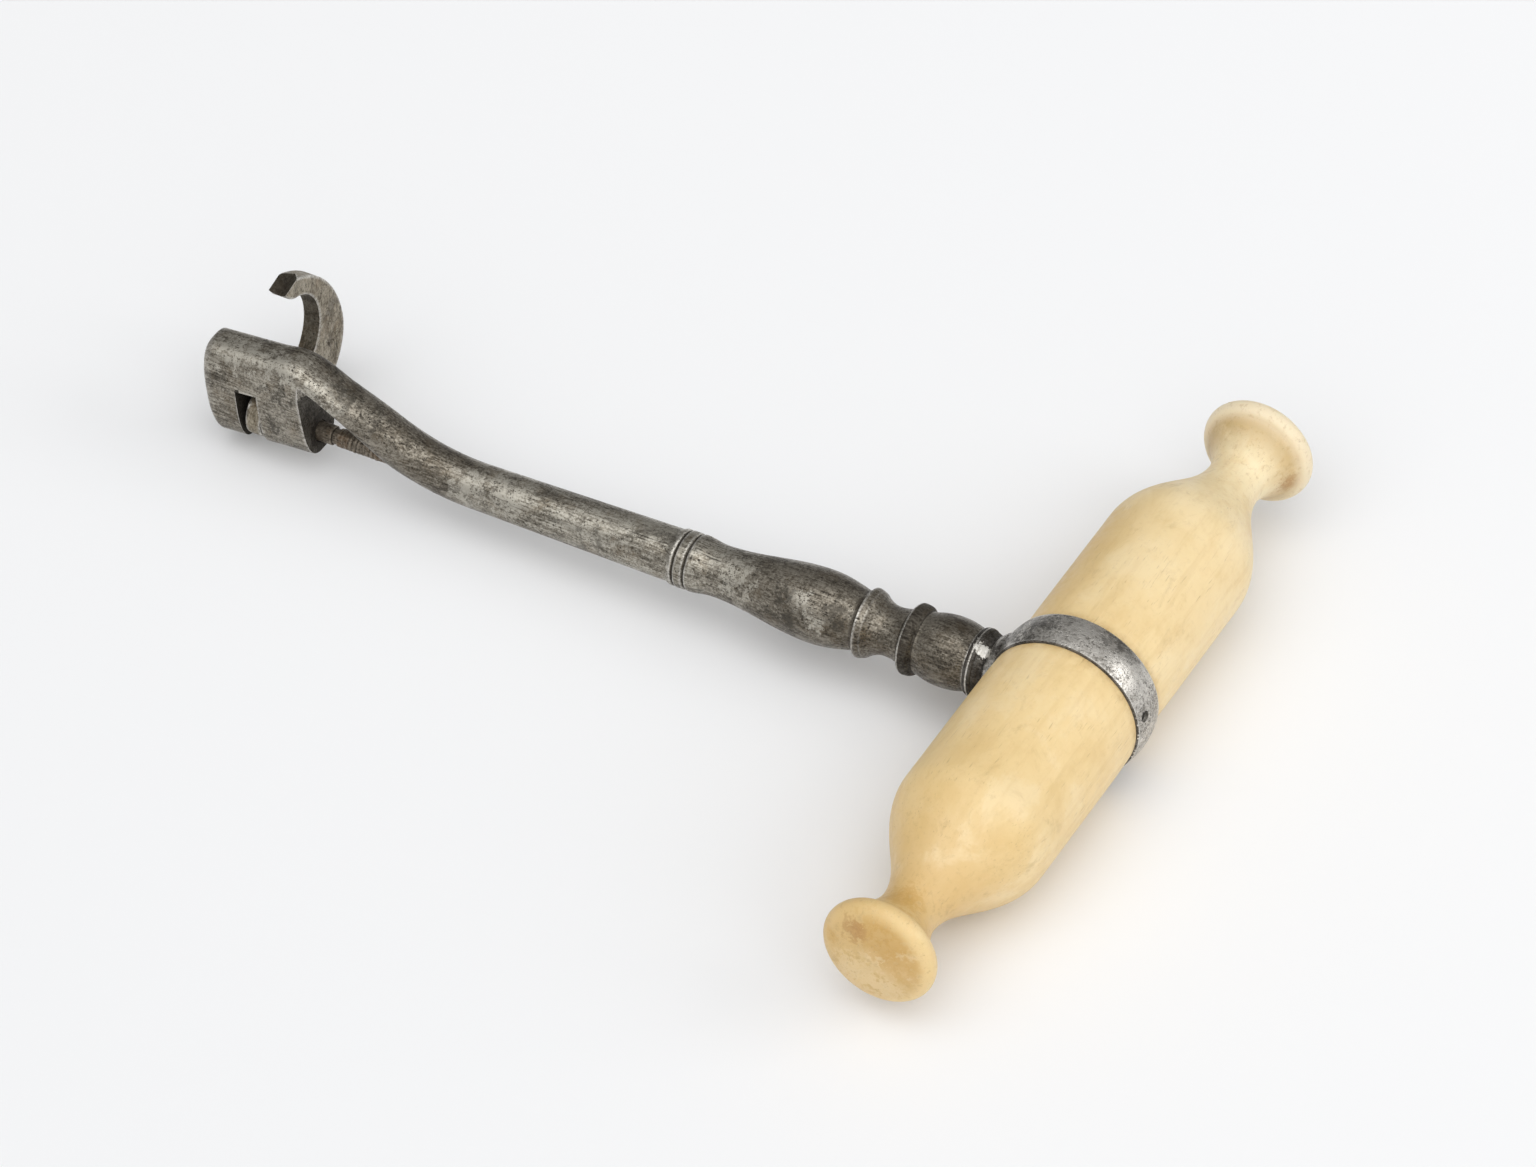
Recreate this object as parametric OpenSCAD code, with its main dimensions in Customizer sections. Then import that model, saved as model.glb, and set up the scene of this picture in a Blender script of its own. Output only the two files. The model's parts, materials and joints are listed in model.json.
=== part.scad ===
// Dental key: a turned handle held across the end of a cranked steel
// shaft, with a forked claw hinged on a long screw in the slotted bolster.
// All pieces are drawn about the crossing of two axes: the handle's axis
// lies along Y and the shaft's along X, with the tip toward -X. The whole
// tool is then laid down on its band and its claw, on the plane z = 0.

/* [Handle] */
// Length over both knobs
handle_length = 118.6; // [100:0.2:132]
// Diameter of the thicker half, which stops the band
barrel_near_d = 22.8; // [22.4:0.1:24]
// Diameter of the thinner half, which the band slides over
barrel_far_d = 22.1; // [20:0.1:22.3]
// Distance from the middle to where the barrel starts to draw in
barrel_half = 30; // [24:0.5:34]
// Distance from the middle to the thinnest place of the neck
neck_at = 48.9; // [44:0.1:50]
// Diameter of the neck
neck_d = 8.3; // [6:0.1:11]
// Diameter of the knobs
knob_d = 16.8; // [13:0.1:20]
// Height of the knob's domed end beyond its rim
knob_dome = 2.3; // [1:0.1:5]
// Width of the rounded lip round the knob
lip_w = 1.6; // [1:0.1:2.4]
// How far the lip stands out from the flare below it
lip_deep = 1.1; // [0.4:0.1:1.6]
// Where each barrel starts to be dressed down toward the band
dress_at = 8; // [7:0.5:12]
// How far it is dressed down at the band
dress_deep = 0.1; // [0.05:0.05:0.3]
// Distance of the band from the middle of the handle, toward the thicker half
band_aside = 0.5; // [0:0.1:2]

/* [Band] */
// Width of the band along the handle
band_w = 6.2; // [4:0.1:9]
// Thickness of the band at its crown
band_crown = 0.9; // [0.7:0.05:2]
// Thickness of the band at its edges
band_edge = 0.5; // [0.4:0.05:0.9]
// Distance from the handle's axis to the face of the flange
flange_face = 14.85; // [14.2:0.05:17]
// Diameter of the flange
flange_d = 10; // [9:0.1:13]
// Thickness of the flange
flange_t = 1.3; // [0.8:0.05:1.6]
// Diameter of the boss behind the flange
boss_d = 8.8; // [7:0.1:9.5]
// Diameter of the tenon that joins the shaft to the band
tenon_d = 5; // [3:0.1:6.5]

/* [Pin] */
// Diameter of the pin through the band
pin_d = 1.6; // [1:0.05:2.5]
// Length of the pin
pin_length = 7; // [4:0.1:10]
// How far the pin's end lies below the crown of the band
pin_sunk = 0.45; // [0:0.05:0.8]
// Angle of the pin above the shaft's axis, at the back of the band
pin_angle = 10; // [-40:1:60]
// Distance of the pin from the middle of the band, toward the thicker half
pin_aside = 1.4; // [0:0.1:1.8]

/* [Turned stem] */
// Diameter of the stem at its shoulder on the flange
shoulder_d = 9.1; // [8:0.1:9.8]
// Diameter of the barrel bead
bead_d = 10.3; // [9.2:0.1:12]
// Distance of the barrel bead from the handle's axis
bead_at = 18.9; // [18:0.1:19.4]
// Diameter of the ring next to the bead
ring_a_d = 10.4; // [9.4:0.1:12]
// Width of that ring
ring_a_w = 2.4; // [1.4:0.1:2.6]
// Distance of that ring from the handle's axis
ring_a_at = 24.25; // [23.8:0.05:24.6]
// Diameter of the hollow between the rings
hollow_d = 7.2; // [5:0.1:8]
// Diameter of the hollow at the foot of that ring
foot_d = 8.2; // [8:0.1:9]
// Diameter of the ring next to the baluster
ring_b_d = 10.2; // [9.2:0.1:12]
// Width of that ring
ring_b_w = 1.8; // [1.2:0.1:2.2]
// Distance of that ring from the handle's axis
ring_b_at = 31.7; // [31.2:0.05:32.2]
// Diameter of the baluster at its root
baluster_root_d = 8.8; // [7:0.1:9.8]
// Diameter of the baluster at its belly
baluster_d = 10.75; // [10:0.05:13]
// Diameter of the waist beyond the baluster
waist_d = 7.5; // [6:0.1:9]
// Distance of the belly from the handle's axis
belly_at = 39.2; // [36:0.1:43]
// Distance of the waist from the handle's axis
waist_at = 55.2; // [52:0.1:57]
// Diameter of the grooved collar
collar_d = 8.3; // [7.8:0.1:10]
// Distance of the grooved collar from the handle's axis
collar_at = 60.4; // [60:0.1:64]
// Spacing of the two grooves in the collar
groove_pitch = 1.75; // [1.2:0.05:2]
// Width of a groove
groove_w = 0.5; // [0.3:0.05:0.8]
// Depth of a groove
groove_deep = 0.28; // [0.1:0.02:0.5]
// Diameter of the plain stem next to the collar
stem_d = 7.7; // [7.2:0.05:7.8]

/* [Crank] */
// Diameter of the crank and of the stem's thin end
crank_d = 6.8; // [6.4:0.05:7.2]
// Width of the crank where it meets the bolster
crank_end_w = 6.4; // [6:0.1:7.2]
// Height of the crank where it meets the bolster
crank_end_h = 3; // [2.6:0.1:4]
// How far the crank lifts the bar above the shaft's axis
crank_rise = 10.7; // [10:0.05:11]
// Steepest slope of the crank
crank_angle = 30; // [28:0.5:32]
// Radius of the bend next to the stem
heel_r = 32; // [24:0.5:34]
// Radius of the bend next to the bolster
toe_r = 8; // [6:0.5:10]

/* [Bolster] */
// Distance from the handle's axis to the back face of the bolster
bolster_at = 120.8; // [112:0.1:130]
// Length of the bolster
bolster_length = 15.6; // [13:0.1:19]
// Height of the bolster
bolster_h = 15.6; // [14.6:0.1:17]
// Thickness of the bolster
bolster_t = 8.2; // [7.2:0.1:10]
// Height of the middle of its back face above the shaft's axis
bolster_mid = 4.85; // [4.4:0.05:5.2]
// How far the tip end dips
bolster_dip = 4.5; // [0:0.5:6]
// Radius of the tip's upper corner and sides
tip_round = 0.5; // [0.2:0.1:2]
// Radius of the tip's lower corner seen from the side
chin_round = 1.4; // [0.5:0.1:4]
// Width of the slot for the claw
slot_w = 3.5; // [3.5:0.05:4]
// Distance from the back face of the bolster to the middle of the slot
slot_in = 8.35; // [7.2:0.05:9]
// Height of the slot's roof above the screw
slot_top = 6; // [5:0.1:7]

/* [Claw] */
// Thickness of the claw at its eye
claw_t = 2.4; // [1.8:0.05:2.5]
// Thickness of its hook, clear of the slot
hook_t = 2.8; // [2.6:0.05:3.4]
// Diameter of the claw's eye
eye_d = 7; // [5.6:0.1:8]
// Radius of the claw's belly
flank_r = 9.5; // [8:0.1:11]
// Reach of the belly to the side of the screw
flank_out = 20; // [18:0.1:22]
// Reach of the belly below the screw
belly_low = 6.9; // [5.5:0.1:8]
// Radius of the claw's back from the belly to the tip
back_r = 19.5; // [17:0.1:22]
// Radius of the claw's inner curve
gape_r = 7.75; // [7:0.05:8.2]
// Reach of the inner curve to the side of the screw
gape_out = 13.7; // [12:0.05:14.5]
// Height of the inner curve's lowest place above the screw
gape_low = 0.25; // [-0.5:0.05:1]
// Radius of the nose in which the back ends
nose_r = 1.2; // [0.8:0.05:1.6]
// How far the underside of the tip swells
tip_swell = 0.4; // [0.1:0.05:0.6]
// Length of the filed notch that forks the tip
notch_length = 5.4; // [3:0.1:6]
// Depth of the notch below the nose
notch_deep = 1.3; // [1:0.1:1.6]
// Half the width of the notch for each millimetre of its depth
notch_flare = 1.1; // [0.7:0.05:1.3]

/* [Screw] */
// Diameter of the screw's smooth shank
shank_d = 2.9; // [2.6:0.05:3.1]
// Outer diameter of the screw's thread
thread_d = 2.9; // [2.4:0.05:3.1]
// Length of the thread
thread_length = 13.3; // [11:0.1:15]
// Diameter of the neck behind the thread
undercut_d = 2.3; // [1.8:0.05:2.6]
// Width of that neck
undercut_w = 0.9; // [0.4:0.1:1.4]
// Diameter of the screw's head
head_d = 5; // [4:0.1:5.6]
// Height of the screw's head
head_h = 1.6; // [1:0.1:2.4]
// Width of the slot for a turnscrew
drive_w = 0.8; // [0.4:0.05:1.2]
// Depth of that slot
drive_deep = 0.8; // [0.4:0.05:0.9]

/* [Fits] */
// Play of the screw in the bolster and in the claw's eye, all round
running_fit = 0.08; // [0.02:0.01:0.1]
// Room all round between pieces that are driven or screwed together
tight_fit = 0.02; // [0.01:0.01:0.05]
// Room all round the screw's head
head_play = 0.15; // [0.1:0.05:0.4]

/* [Hidden] */
$fn = 96;
steel = [0.45, 0.43, 0.40];
dark_steel = [0.36, 0.34, 0.32];
claw_steel = [0.53, 0.48, 0.42];
ivory = [0.90, 0.80, 0.56];
// A cut runs past the surface by this much
past = 1;

near_r = barrel_near_d / 2;
far_r = barrel_far_d / 2;
// The band is shrunk onto this seat of the handle
seat_r = far_r - dress_deep;
crown_r = far_r + band_crown;
rim_at = handle_length / 2 - knob_dome;
// How late the knob flares out from its neck
flare_power = 1.8;

// Outline tools: each gives points [place along the axis, radius]
function ease(u) = (1 - cos(180 * u)) / 2;
function ogee(from, to, n) =
    [for (i = [0:n]) from + [(to[0] - from[0]) * i / n,
                             (to[1] - from[1]) * ease(i / n)]];
function arch(from, to, crest, n) =
    [for (i = [0:n]) let (u = i / n) from + (to - from) * u
        + [0, (crest - (from[1] + to[1]) / 2) * (1 - pow(2 * u - 1, 2))]];
function quarter(from, to, n) =
    [for (i = [0:n]) from + [(to[0] - from[0]) * (1 - cos(90 * i / n)),
                             (to[1] - from[1]) * sin(90 * i / n)]];
function arc(centre, r, a0, a1, n) =
    [for (i = [0:n]) let (a = a0 + (a1 - a0) * i / n)
        centre + r * [cos(a), sin(a)]];
function reversed(list) = [for (i = [len(list) - 1:-1:0]) list[i]];
function swapped(list) = [for (p = list) [p[1], p[0]]];
function mirrored(list) = [for (p = reversed(list)) [-p[0], p[1]]];

// A solid turned about Z from points [height, radius]
module turned(points)
    rotate_extrude() polygon(concat(
        [[0, points[0][0]]], swapped(points),
        [[0, points[len(points) - 1][0]]]));
module along_handle() rotate([-90, 0, 0]) children();
// Z becomes -X, so that heights are distances toward the tip
module along_shaft() rotate([0, -90, 0]) children();

// Handle: from the end of a barrel, the ogee to the neck, the flare of
// the knob, its rounded lip and its domed end
lip_at = rim_at - lip_w;
crease_r = knob_d / 2 - lip_deep;
function handle_end(barrel_r) = concat(
    ogee([barrel_half, barrel_r], [neck_at, neck_d / 2], 14),
    [for (i = [1:10]) let (u = i / 10)
        [neck_at + (lip_at - neck_at) * u,
         neck_d / 2 + (crease_r - neck_d / 2) * pow(u, flare_power)]],
    [for (a = [15:15:90]) [rim_at - lip_w * cos(a), crease_r + lip_deep * sin(a)]],
    [for (a = [12:12:84]) [rim_at + knob_dome * sin(a),
                           knob_d / 2 * pow(cos(a), 0.6)]],
    [[rim_at + knob_dome, 0.01]]);
// The step between the two halves lies at the near edge of the band, here
// counted from the middle of the handle
step_at = -band_w / 2 - tight_fit - band_aside;
seat_end = band_w / 2 + tight_fit - band_aside;

module pin_place()
    translate([0, -pin_aside, 0]) rotate([0, 90 - pin_angle, 0]) children();
pin_end = crown_r - pin_sunk;

module handle() color(ivory) lay() difference() {
    translate([0, band_aside, 0]) along_handle() turned(concat(
        mirrored(handle_end(near_r)),
        [[-dress_at, near_r], [step_at, near_r - dress_deep],
         [step_at, seat_r], [seat_end, seat_r], [dress_at, far_r]],
        handle_end(far_r)));
    pin_place() translate([0, 0, pin_end - pin_length - tight_fit])
        cylinder(d = pin_d + 2 * tight_fit, h = pin_length + past);
}

// Room for the handle in the band: the seat right through, and a barrel
// at each side of it
module handle_room() along_handle() {
    translate([0, 0, -band_w / 2 - past])
        cylinder(r = seat_r + tight_fit, h = band_w + 2 * past);
    translate([0, 0, -flange_d])
        cylinder(r = near_r + tight_fit, h = flange_d - band_w / 2);
    translate([0, 0, band_w / 2])
        cylinder(r = far_r + tight_fit, h = flange_d);
}

module handle_band() color(dark_steel) lay() difference() {
    union() {
        along_handle() turned(arch(
            [-band_w / 2, far_r + band_edge],
            [band_w / 2, far_r + band_edge], crown_r, 16));
        along_shaft() turned(concat(
            [[far_r - past, boss_d / 2]],
            ogee([crown_r - band_edge, boss_d / 2],
                 [flange_face - flange_t, flange_d / 2 - band_edge / 2], 6),
            quarter([flange_face - flange_t, flange_d / 2 - band_edge / 2],
                    [flange_face - flange_t / 2, flange_d / 2], 4),
            reversed(quarter([flange_face, flange_d / 2 - band_edge / 2],
                    [flange_face - flange_t / 2, flange_d / 2], 4))));
    }
    handle_room();
    along_shaft() cylinder(d = tenon_d + 2 * tight_fit, h = flange_face + past);
    pin_place() cylinder(d = pin_d + 2 * tight_fit, h = crown_r + past);
}

module band_pin() color(dark_steel) lay()
    pin_place() translate([0, 0, pin_end - pin_length])
        cylinder(d = pin_d, h = pin_length);

// Crank places: the straight bar takes up the rise that the bends leave,
// and the toe ends inside the bolster
crank_bury = toe_r * sin(crank_angle) / 2;
bar_length = (crank_rise - (heel_r + toe_r) * (1 - cos(crank_angle)))
    / sin(crank_angle);
crank_run = (heel_r + toe_r) * sin(crank_angle) + bar_length * cos(crank_angle);
crank_start = bolster_at + crank_bury - crank_run;

// Stem: the turned outline from the flange to the start of the crank
shoulder_at = flange_face + tight_fit;
bead_end = ring_a_at - ring_a_w / 2;
ring_a_end = ring_a_at + ring_a_w / 2;
hollow_at = (ring_a_at + ring_b_at) / 2;
groove_floor = collar_d / 2 - groove_deep;
function groove(at) = [
    [at - groove_w / 2, collar_d / 2], [at - groove_w / 4, groove_floor],
    [at + groove_w / 4, groove_floor], [at + groove_w / 2, collar_d / 2]];
collar_end = collar_at + groove_pitch / 2 + 2 * groove_w;

stem_outline = concat(
    [[shoulder_at, shoulder_d / 2]],
    arch([2 * bead_at - bead_end + groove_w, shoulder_d / 2],
         [bead_end - groove_w, shoulder_d / 2], bead_d / 2, 10),
    quarter([bead_end, shoulder_d / 2], [ring_a_at, ring_a_d / 2], 5),
    reversed(quarter([ring_a_end, foot_d / 2], [ring_a_at, ring_a_d / 2], 5)),
    [for (i = [1:5]) let (u = i / 6)
        [ring_a_end + (hollow_at - ring_a_end) * u,
         (hollow_d + (foot_d - hollow_d) * pow(1 - u, 2)) / 2]],
    [for (i = [0:8]) let (u = i / 8)
        [hollow_at + (ring_b_at - ring_b_w / 2 - hollow_at) * u,
         hollow_d / 2 + (ring_b_d - hollow_d) / 2 * 0.8 * u * u]],
    [[ring_b_at, ring_b_d / 2]],
    reversed(quarter([ring_b_at + ring_b_w / 2, baluster_root_d / 2],
                     [ring_b_at, ring_b_d / 2], 5)),
    [for (i = [1:8]) let (from = ring_b_at + ring_b_w / 2 + groove_w, u = i / 8)
        [from + (belly_at - from) * u,
         (baluster_root_d + (baluster_d - baluster_root_d) * sin(90 * u)) / 2]],
    ogee([belly_at, baluster_d / 2], [waist_at, waist_d / 2], 14),
    ogee([waist_at, waist_d / 2],
         [collar_at - groove_pitch / 2 - groove_w, collar_d / 2], 8),
    groove(collar_at - groove_pitch / 2), groove(collar_at + groove_pitch / 2),
    ogee([collar_end - groove_w, collar_d / 2], [collar_end + groove_w, stem_d / 2], 5),
    [[crank_start, crank_d / 2]]);

// Crank: a loft along the heel, the bar and the toe, which flattens from
// the round stem to the oval that enters the bolster. A station is [distance
// toward the tip, height, slope].
crank_steps = 8;
crank_sides = 24;
stations = concat(
    [[crank_start - past, 0, 0]],
    [for (i = [0:crank_steps]) let (a = crank_angle * i / crank_steps)
        [crank_start + heel_r * sin(a), heel_r * (1 - cos(a)), a]],
    [for (i = [0:crank_steps]) let (a = crank_angle * (1 - i / crank_steps))
        [crank_start + crank_run - toe_r * sin(a),
         crank_rise - toe_r * (1 - cos(a)), a]],
    [[crank_start + crank_run + crank_bury, crank_rise, 0]]);
flat_from = crank_start + heel_r * sin(crank_angle) * 0.7;
flat_to = bolster_at - crank_end_h / 2;
function flatness(x) = ease(max(0, min(1, (x - flat_from) / (flat_to - flat_from))));
function section(at) = [for (i = [0:crank_sides - 1])
    let (f = 360 * i / crank_sides, g = flatness(at[0]),
         wide = (crank_d + (crank_end_w - crank_d) * g) / 2 - tight_fit,
         high = (crank_d + (crank_end_h - crank_d) * g) / 2 - tight_fit)
    [-at[0] + high * sin(f) * sin(at[2]), wide * cos(f),
     at[1] + high * sin(f) * cos(at[2])]];
module crank() let (n = crank_sides, last = (len(stations) - 1) * n)
    polyhedron(
        points = [for (at = stations) each section(at)],
        faces = concat(
            [[for (i = [n - 1:-1:0]) i], [for (i = [0:n - 1]) last + i]],
            [for (k = [0:n:last - n], i = [0:n - 1], half = [0, 1])
                let (a = k + i, b = k + (i + 1) % n)
                half == 0 ? [a, b, b + n] : [a, b + n, a + n]]));

// Bolster: the oval section, the side view with its round tip corners and
// the plan with its round tip, each run through, keep what they share
module bolster_place()
    translate([-bolster_at, 0, bolster_mid]) rotate([0, -bolster_dip, 0]) children();
oval_power = 3;
function lobe(v) = sign(v) * pow(abs(v), 2 / oval_power);
module bolster() bolster_place() intersection() {
    rotate([0, -90, 0]) linear_extrude(bolster_length)
        polygon([for (a = [0:7.5:352.5])
            [bolster_h / 2 * lobe(cos(a)), bolster_t / 2 * lobe(sin(a))]]);
    rotate([90, 0, 0]) linear_extrude(2 * bolster_t, center = true)
        polygon(concat(
            [[past, -bolster_h], [past, bolster_h]],
            arc([tip_round - bolster_length, bolster_h / 2 - tip_round],
                tip_round, 90, 180, 8),
            arc([chin_round - bolster_length, chin_round - bolster_h / 2],
                chin_round, 180, 270, 8)));
    linear_extrude(2 * bolster_h, center = true)
        polygon(concat(
            [[past, -bolster_t], [past, bolster_t]],
            arc([tip_round - bolster_length, bolster_t / 2 - tip_round],
                tip_round, 90, 180, 6),
            arc([tip_round - bolster_length, tip_round - bolster_t / 2],
                tip_round, 180, 270, 6)));
}

// Screw places along the shaft's axis, from the handle's axis
tip_at = bolster_at + (bolster_length - bolster_mid * sin(bolster_dip))
    / cos(bolster_dip);
head_seat = tip_at - head_h - tight_fit;
thread_end = crank_start + crank_run / 3;
thread_start = thread_end + thread_length;
bore_d = max(shank_d, thread_d) + 2 * running_fit;
slot_at = bolster_at + slot_in;

module shaft() color(steel) lay() difference() {
    union() {
        along_shaft() turned(stem_outline);
        along_shaft() translate([0, 0, seat_r - past])
            cylinder(d = tenon_d, h = shoulder_at - seat_r + 2 * past);
        crank();
        bolster();
    }
    // The tenon's end is dressed to the bore of the band
    handle_room();
    // The slot leans with the bolster and runs out at both sides and below
    translate([-slot_at, 0, 0]) rotate([0, -bolster_dip, 0])
        translate([-slot_w / 2, -bolster_t, slot_top - 2 * bolster_h])
            cube([slot_w, 2 * bolster_t, 2 * bolster_h]);
    along_shaft() {
        translate([0, 0, thread_end - tight_fit])
            cylinder(d = thread_d + 2 * tight_fit, h = bolster_at - thread_end);
        translate([0, 0, bolster_at - past])
            cylinder(d = bore_d, h = head_seat - bolster_at + 2 * past);
        translate([0, 0, head_seat - tight_fit])
            cylinder(d = head_d + 2 * head_play, h = head_h + 2 * past);
    }
}

// Claw, drawn in the plane across the shaft: first number toward +Y,
// second upward, with the screw at [0, 0]. The flank is the round belly,
// the back runs on from it to the tip with a larger radius, and the gape
// is the inner curve that closes on the tooth.
flank_centre = [flank_out - flank_r, flank_r - belly_low];
back_from = 10;
back_centre = flank_centre
    - (back_r - flank_r) * [cos(back_from), sin(back_from)];
back_to = 72;
gape_centre = [gape_out - gape_r, gape_low + gape_r];
bevel_angle = 74;
eye_r = eye_d / 2;
// The underside is the line that touches both the belly and the eye
under_angle = atan2(flank_centre[1], flank_centre[0])
    - acos((eye_r - flank_r) / norm(flank_centre));
// Where the inner curve meets the eye
meet = (pow(eye_r, 2) - pow(gape_r, 2) + pow(norm(gape_centre), 2))
    / (2 * norm(gape_centre));
meet_angle = atan2(gape_centre[1], gape_centre[0]) - acos(meet / eye_r);
meet_point = eye_r * [cos(meet_angle), sin(meet_angle)];
gape_from = atan2(meet_point[1] - gape_centre[1], meet_point[0] - gape_centre[0]);
// The nose turns from the back down to the points of the fork, and from
// there the underside swells on its way to the inner curve
nose_to = 185;
nose_centre = back_centre + (back_r - nose_r) * [cos(back_to), sin(back_to)];
claw_tip = nose_centre + nose_r * [cos(nose_to), sin(nose_to)];
gape_end = gape_centre + gape_r * [cos(bevel_angle), sin(bevel_angle)];
tip_run = claw_tip - gape_end;
claw_outline = concat(
    arc(nose_centre, nose_r, nose_to, back_to, 10),
    arc(back_centre, back_r, back_to, back_from, 16),
    arc(flank_centre, flank_r, back_from, under_angle, 24),
    arc([0, 0], eye_r, under_angle, meet_angle - 360, 24),
    arc(gape_centre, gape_r, gape_from, bevel_angle, 30),
    [for (i = [1:5]) let (u = i / 6) gape_end + tip_run * u
        + tip_swell * (1 - pow(2 * u - 1, 2)) / norm(tip_run)
            * [-tip_run[1], tip_run[0]]]);
// The claw thickens from the eye to the hook between these radii
thin_r = 8;
thick_r = 12;
reach_r = flank_out + back_r;
// The floor of the notch climbs from below the nose to the back
notch_foot = [claw_tip[0], claw_tip[1] - notch_deep];
notch_share = (claw_tip[0] + notch_length - back_centre[0]) / back_r;
notch_head = back_centre + back_r * [notch_share, sqrt(1 - pow(notch_share, 2))];
notch_run = notch_head - notch_foot;
notch_slope = atan2(notch_run[1], notch_run[0]);

module claw() color(claw_steel) lay() translate([-slot_at, 0, 0]) difference() {
    intersection() {
        rotate([90, 0, 90]) linear_extrude(hook_t, center = true) polygon(claw_outline);
        rotate([0, 90, 0]) rotate_extrude() polygon([
            [0, -claw_t / 2], [thin_r, -claw_t / 2], [thick_r, -hook_t / 2],
            [reach_r, -hook_t / 2], [reach_r, hook_t / 2], [thick_r, hook_t / 2],
            [thin_r, claw_t / 2], [0, claw_t / 2]]);
    }
    rotate([0, 90, 0])
        cylinder(d = bore_d, h = 2 * claw_t, center = true);
    // The notch is a V filed across the tip along its sloping floor
    translate([0, notch_foot[0], notch_foot[1]]) rotate([notch_slope, 0, 0])
        rotate([90, 0, 0]) translate([0, 0, -norm(notch_run) - 2 * past])
            linear_extrude(norm(notch_run) + 4 * past) polygon([
                [0, 0], flank_r * [notch_flare, 1], flank_r * [-notch_flare, 1]]);
}

module claw_screw() color(dark_steel) lay() along_shaft() difference() {
    turned([
        [thread_end, thread_d / 2], [thread_start, thread_d / 2],
        [thread_start, undercut_d / 2], [thread_start + undercut_w, undercut_d / 2],
        [thread_start + undercut_w, shank_d / 2], [head_seat, shank_d / 2],
        [head_seat, head_d / 2], [head_seat + head_h, head_d / 2]]);
    translate([0, 0, head_seat + head_h - drive_deep / 2 + past / 2])
        cube([drive_w, head_d + past, drive_deep + past], center = true);
}

// Lying down: the band touches the plane at its crown and the claw at its
// belly, and the middle of the tool's box is over the origin
claw_far = slot_at + hook_t / 2;
lie = asin(crown_r / norm([claw_far, belly_low])) - atan2(belly_low, claw_far);
tip_slope = lie + bolster_dip;
tip_reach = bolster_at * cos(lie) + bolster_mid * sin(lie)
    + (bolster_length - tip_round) * cos(tip_slope)
    + (bolster_h / 2 - tip_round) * sin(tip_slope) + tip_round;
module lay()
    translate([(tip_reach - crown_r) / 2, -band_aside, crown_r])
        rotate([0, -lie, 0]) children();

handle();
handle_band();
band_pin();
shaft();
claw();
claw_screw();
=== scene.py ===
# %% [markdown]
# A dental key lies on a pale table. Its CAD solids are the frame; every piece
# below is a finer skin over one of them, in the same place.
# The frame is loaded first, so that each surface can take its place from it.

import json
import math

import bmesh
import bpy
import numpy as np
from mathutils import Euler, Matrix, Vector


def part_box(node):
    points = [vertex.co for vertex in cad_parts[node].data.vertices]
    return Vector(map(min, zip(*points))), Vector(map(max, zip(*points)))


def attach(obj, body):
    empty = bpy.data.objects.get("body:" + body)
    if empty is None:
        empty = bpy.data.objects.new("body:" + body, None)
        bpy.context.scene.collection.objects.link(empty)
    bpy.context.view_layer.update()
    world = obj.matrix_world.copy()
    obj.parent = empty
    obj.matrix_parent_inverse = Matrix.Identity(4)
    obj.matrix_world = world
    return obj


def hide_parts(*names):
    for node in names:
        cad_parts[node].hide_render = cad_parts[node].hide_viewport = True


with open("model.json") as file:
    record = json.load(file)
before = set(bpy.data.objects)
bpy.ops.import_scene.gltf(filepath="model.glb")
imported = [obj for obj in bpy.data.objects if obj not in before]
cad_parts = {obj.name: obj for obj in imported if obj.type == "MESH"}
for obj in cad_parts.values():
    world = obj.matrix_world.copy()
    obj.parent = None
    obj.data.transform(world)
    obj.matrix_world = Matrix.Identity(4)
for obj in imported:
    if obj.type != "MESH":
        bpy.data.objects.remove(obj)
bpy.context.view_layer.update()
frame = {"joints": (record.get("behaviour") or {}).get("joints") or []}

# %% [markdown]
# The tool lies with its shaft sloping down to the claw. It is easier to draw it
# level: x along the shaft (the claw's end is negative), y along the handle and z
# up, in millimetres from where the two axes meet. The claw's hinge, which lies on
# the shaft's axis, gives the slope, and the boxes of handle and band the place.

# %% From the level tool to the lying one
MM = 0.001
scene = bpy.context.scene
swing = frame["joints"][0]
SLOPE_COS, _, SLOPE_SIN = swing["axis"]
low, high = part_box("handle")
HANDLE_MID = (low + high) / 2
low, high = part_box("handle_band")
BAND_Y = (low.y + high.y) / 2
CLAW_AT = math.hypot(swing["pos_m"][0] - HANDLE_MID.x,
                     swing["pos_m"][2] - HANDLE_MID.z) / MM


def stack(*numbers):
    """Points from their coordinates."""
    return np.stack(numbers, -1)


def chain(*parts):
    """Rows of points one after another."""
    return np.concatenate(parts)


def lay(points):
    """Turn level points about the handle by the shaft's slope and move them to its axis, in metres."""
    x, y, z = np.moveaxis(np.asarray(points, float) * MM, -1, 0)
    return stack(SLOPE_COS * x - SLOPE_SIN * z + HANDLE_MID.x, y + BAND_Y,
                 SLOPE_SIN * x + SLOPE_COS * z + HANDLE_MID.z)


def level(points):
    """The reverse of lay: lying metres become level millimetres."""
    x, y, z = np.moveaxis(points - np.array([HANDLE_MID.x, BAND_Y, HANDLE_MID.z]), -1, 0)
    return stack(SLOPE_COS * x + SLOPE_SIN * z, y, SLOPE_COS * z - SLOPE_SIN * x) / MM


print("claw's hinge at", round(CLAW_AT, 3), "mm from the handle's axis")

# %% [markdown]
# Every piece is a grid of points: rows along it, columns round it. Modifiers could
# make such shapes too; a grid keeps each size a named number. One helper makes the
# mesh, another cuts or joins meshes, as a file or a forge would.

# %% Grids become meshes
MERGE = 2e-6


def placed(name, data):
    """A new object of the scene that shows the data."""
    made = bpy.data.objects.new(name, data)
    scene.collection.objects.link(made)
    return made


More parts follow.
